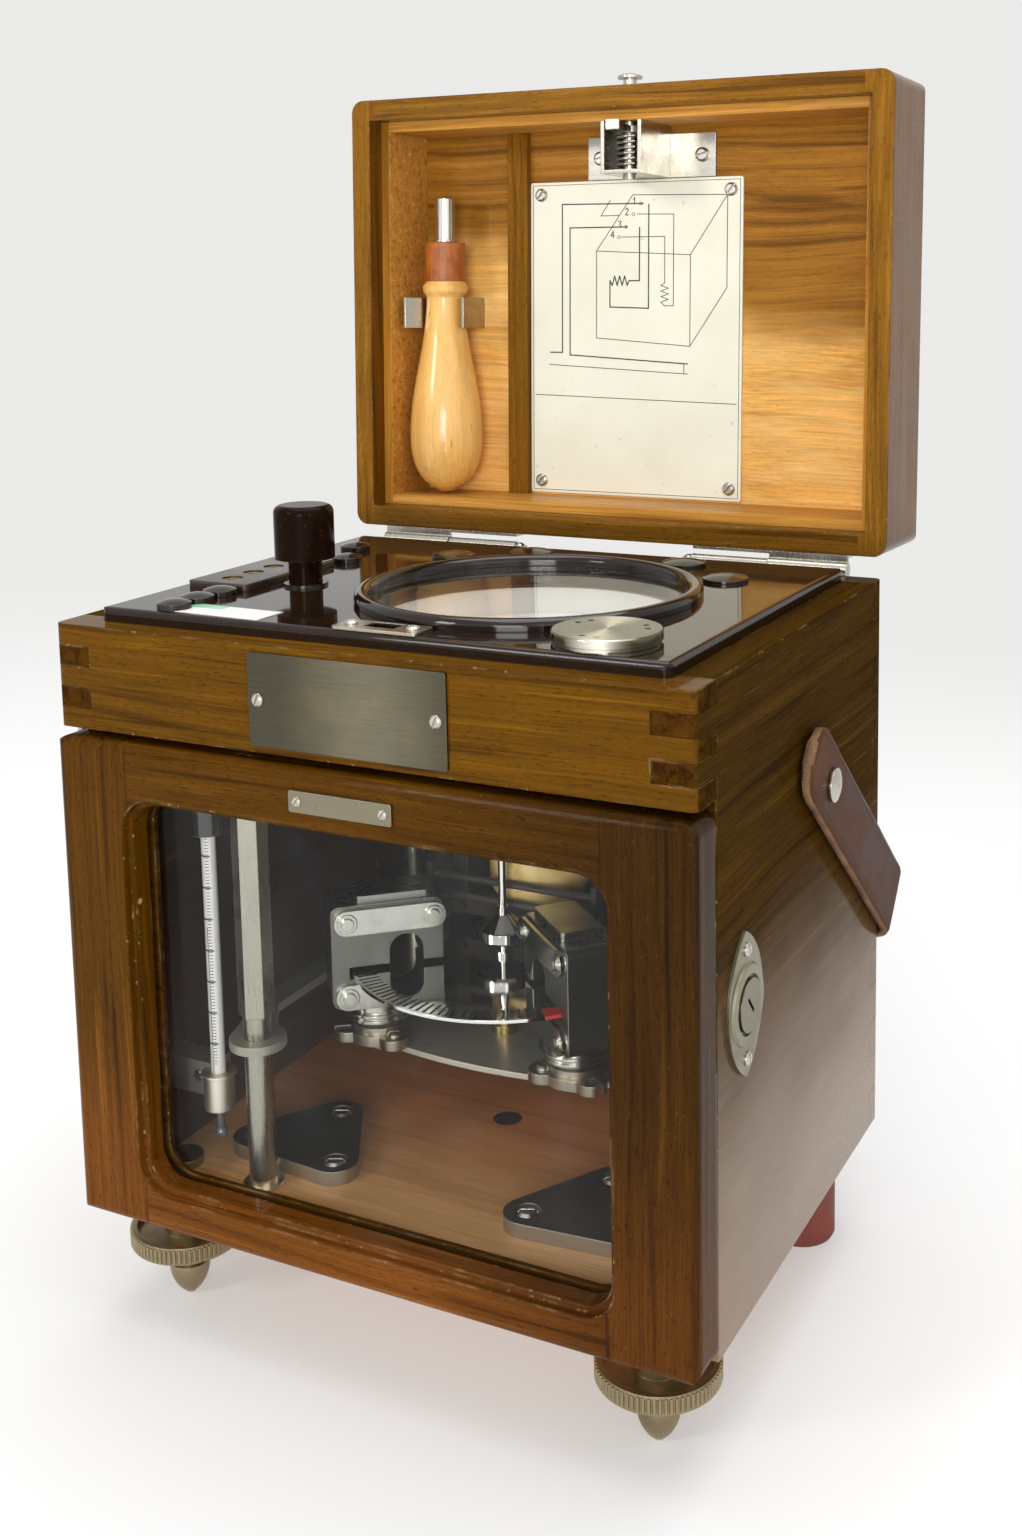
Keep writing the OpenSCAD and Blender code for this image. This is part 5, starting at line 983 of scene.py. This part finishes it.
def diagram():
    """Connection diagram: a box in perspective, its leads, two coils and four numbered sockets."""
    bm = bmesh.new()
    thin, bold = 0.30, 0.50
    poly(bm, thin, (30, 64), (71, 61), (71, 97), (30, 99), (30, 64))
    poly(bm, thin, (30, 99), (46, 121), (86.5, 120), (71, 97))
    poly(bm, thin, (86.5, 120), (86.5, 84), (71, 61))
    poly(bm, bold, (14.5, 118), (14.5, 58), (9, 58))
    poly(bm, bold, (14.5, 118), (50.5, 117.5))
    poly(bm, bold, (18, 108.5), (18, 57), (70, 54))
    poly(bm, bold, (18, 108.5), (43.5, 108.4))
    poly(bm, thin, (8.5, 53), (70, 50))
    poly(bm, thin, (68.5, 54), (68.5, 50))
    level_coil = [(37 + 1.1 * k, 87 + (1.8 if k % 2 else -1.8)) for k in range(7)]
    poly(bm, bold, (36, 87), *level_coil, (44.5, 87), (49, 87), (49, 108))
    poly(bm, bold, (36, 87), (36, 76.5), (53, 76), (53, 117))
    upright_coil = [(60 + (1.6 if k % 2 else -1.6), 85 - 1.1 * k) for k in range(7)]
    poly(bm, thin, (60, 86), *upright_coil, (60, 77), (63.8, 77), (63.8, 113))
    poly(bm, thin, (60, 86), (60, 104.3), (41, 104.4))
    poly(bm, thin, (63.8, 113), (48, 113.4))
    poly(bm, thin, (40, 113), (32, 113), (36, 119))
    for digit, (u, v) in zip(DIGITS, ((49.5, 117.5), (46.3, 113.3), (43.1, 108.4), (39.9, 104.4))):
        angles = [math.radians(45 * j) for j in range(9)]
        poly(bm, 0.2, *((u + 0.6 * math.cos(a), v + 0.6 * math.sin(a)) for a in angles))
        poly(bm, 0.36, *((u - 3.6 + 1.7 * x, v - 0.2 + 2.6 * y) for x, y in digit))
    poly(bm, thin, (2.2, 40.5), (90.8, 38.5))
    poly(bm, 0.22, (1.2, 1.2), (91.8, 1.2), (91.8, 125.8), (1.2, 125.8), (1.2, 1.2))
    mesh_piece("diagram_lines", bm, "lid", ink(), smooth=False)


diagram()


def sticker():
    """Blank paper label on the panel: white, with one green band."""
    cx, cy = -57.0, 18.3 - SOURCE_Y
    panel_z = 245.0
    s = Shade("label_paper", rough=0.35)
    x, y, z = s.xyz()
    soft, edge = s.rim(0.0004)
    green = s.mul(s.fade(y, (cy + 1.5) * MM, (cy + 1.7) * MM), s.fade(x, (cx - 3) * MM, (cx - 3.4) * MM))
    fibre = s.noise(s.pos(), 900.0, 3.0)
    dirt = s.noise(s.pos(), 120.0, 4.0, 0.6)
    col = s.mix(green, (0.86, 0.865, 0.80), (0.30, 0.62, 0.40))
    col = s.mix(s.fade(dirt, 0.5, 0.8, 0.0, 0.35), col, (0.60, 0.56, 0.44))
    col = s.mix(s.mul(edge, 0.4), col, (0.55, 0.50, 0.38))
    paper = s.out(col, s.vary(dirt, 0.3, 0.45), s.bump(fibre, 0.00001, 0.5, soft))
    bm = bmesh.new()
    width, depth, thick = 35.0, 13.5, 0.14
    turn = math.radians(-2.0)
    nx, ny = 28, 12
    top, low = {}, {}
    for i in range(nx + 1):
        for j in range(ny + 1):
            u, v = -width / 2 + width * i / nx, -depth / 2 + depth * j / ny
            # the right end curls up and the whole sheet is a little uneven
            lift = 0.10 * max(0.0, (i / nx - 0.86) / 0.14) ** 2 + 0.04 * math.sin(i * 0.9) * math.sin(j * 0.8)
            px, py = u * math.cos(turn) - v * math.sin(turn), u * math.sin(turn) + v * math.cos(turn)
            top[i, j] = bm.verts.new(Vector((cx + px, cy + py, panel_z + thick + max(0.0, lift))) * MM)
            low[i, j] = bm.verts.new(Vector((cx + px, cy + py, panel_z + 0.01)) * MM)
    for i in range(nx):
        for j in range(ny):
            bm.faces.new((top[i, j], top[i + 1, j], top[i + 1, j + 1], top[i, j + 1]))
            bm.faces.new((low[i, j], low[i, j + 1], low[i + 1, j + 1], low[i + 1, j]))
    for i in range(nx):
        for j in (0, ny):
            bm.faces.new((low[i, j], low[i + 1, j], top[i + 1, j], top[i, j]))
    for j in range(ny):
        for i in (0, nx):
            bm.faces.new((low[i, j], low[i, j + 1], top[i, j + 1], top[i, j]))
    mesh_piece("panel_label", bm, "case", paper)


sticker()


# ---------------------------------------------------------------- stage, lights and camera

def stage():
    """Floor that curves up into a wall behind."""
    s = Shade("backdrop_paper", color=(0.93, 0.93, 0.92), rough=0.9, spec=0.1)
    n = s.noise(s.pos(), 3.0, 2.0)
    s.set({"Base Color": s.mix(s.vary(n, 0.0, 0.3), (0.94, 0.935, 0.925), (0.92, 0.918, 0.908))})
    # the far paper shows its own pale tone to the camera, glass and gloss, and the floor keeps its shadows
    y = s.xyz()[1]
    far = s.fade(y, 0.20, 1.1, 0.32, 1.0)
    tone = s.mix(s.fade(y, 0.10, 1.0), (0.935, 0.925, 0.91), (0.83, 0.828, 0.815))
    glow = s.made("Emission", {"Color": tone, "Strength": 1.0})
    both = s.shaders(s.mul(s.paper_rays(), far), s.p.outputs[0], glow)
    s.put(s.find("OUTPUT_MATERIAL").inputs["Surface"], both)
    half_width, front, bend_y, radius, top = 6.0, -5.0, 2.2, 1.2, 5.0
    angles = [math.radians(90 * k / 12) for k in range(1, 13)]
    profile = [(front, 0.0), (bend_y, 0.0)]
    profile += [(bend_y + radius * math.sin(a), radius - radius * math.cos(a)) for a in angles]
    profile.append((bend_y + radius, top))
    bm = bmesh.new()
    rows = [(bm.verts.new((-half_width, y, z)), bm.verts.new((half_width, y, z))) for y, z in profile]
    for a, b in zip(rows, rows[1:]):
        bm.faces.new((a[0], a[1], b[1], b[0]))
    mesh_object("backdrop", bm, s.m)


stage()


def area(name, at, look, size, power, color):
    d = bpy.data.lights.new(name, "AREA")
    d.shape = "RECTANGLE"
    d.size, d.size_y = size
    d.energy = power
    d.color = color
    o = bpy.data.objects.new(name, d)
    o.location = at
    o.rotation_euler = (Vector(look) - Vector(at)).to_track_quat("-Z", "Y").to_euler()
    scene.collection.objects.link(o)


# name, place, point it looks at, size, watts, colour
area("key", (-0.90, -1.75, 1.08), (0, 0, 0.20), (0.42, 0.42), 9.5, (1.0, 0.985, 0.96))
area("fill", (1.6, -1.2, 0.9), (0, 0, 0.2), (1.4, 1.4), 6.5, (0.97, 0.985, 1.0))
area("front", (0.55, -1.75, 0.42), (0, 0, 0.13), (0.6, 0.5), 14.0, (1.0, 0.985, 0.96))
area("top", (0.1, 0.2, 2.1), (0, 0.1, 0.1), (1.8, 1.8), 35.0, (1.0, 1.0, 1.0))

world = bpy.data.worlds.new("studio")
scene.world = world
world.use_nodes = True
air = Tree(world.node_tree)
light = air.find("BACKGROUND")
light.inputs["Color"].default_value = (0.93, 0.95, 1.0, 1.0)
light.inputs["Strength"].default_value = 0.45
# the camera, metal and glass find pale paper all round
paper = air.made("Background", {"Color": (0.86, 0.858, 0.845, 1.0)})
air.put(air.find("OUTPUT_WORLD").inputs["Surface"], air.shaders(air.paper_rays(), light.outputs[0], paper))

cam_data = bpy.data.cameras.new("camera")
cam_data.lens = 40.175
cam_data.shift_x = -0.0440
cam_data.shift_y = -0.1800
cam_data.sensor_width = 36.0
cam_data.sensor_fit = "AUTO"
cam_data.clip_start = 0.01
cam_data.clip_end = 50.0
cam = bpy.data.objects.new("camera", cam_data)
scene.collection.objects.link(cam)
cam.location = (0.282560, -0.523251, 0.356104)
cam.rotation_euler = (math.radians(82.1360), math.radians(0.8780), math.radians(26.2558))
scene.camera = cam

scene.view_settings.view_transform = "Standard"
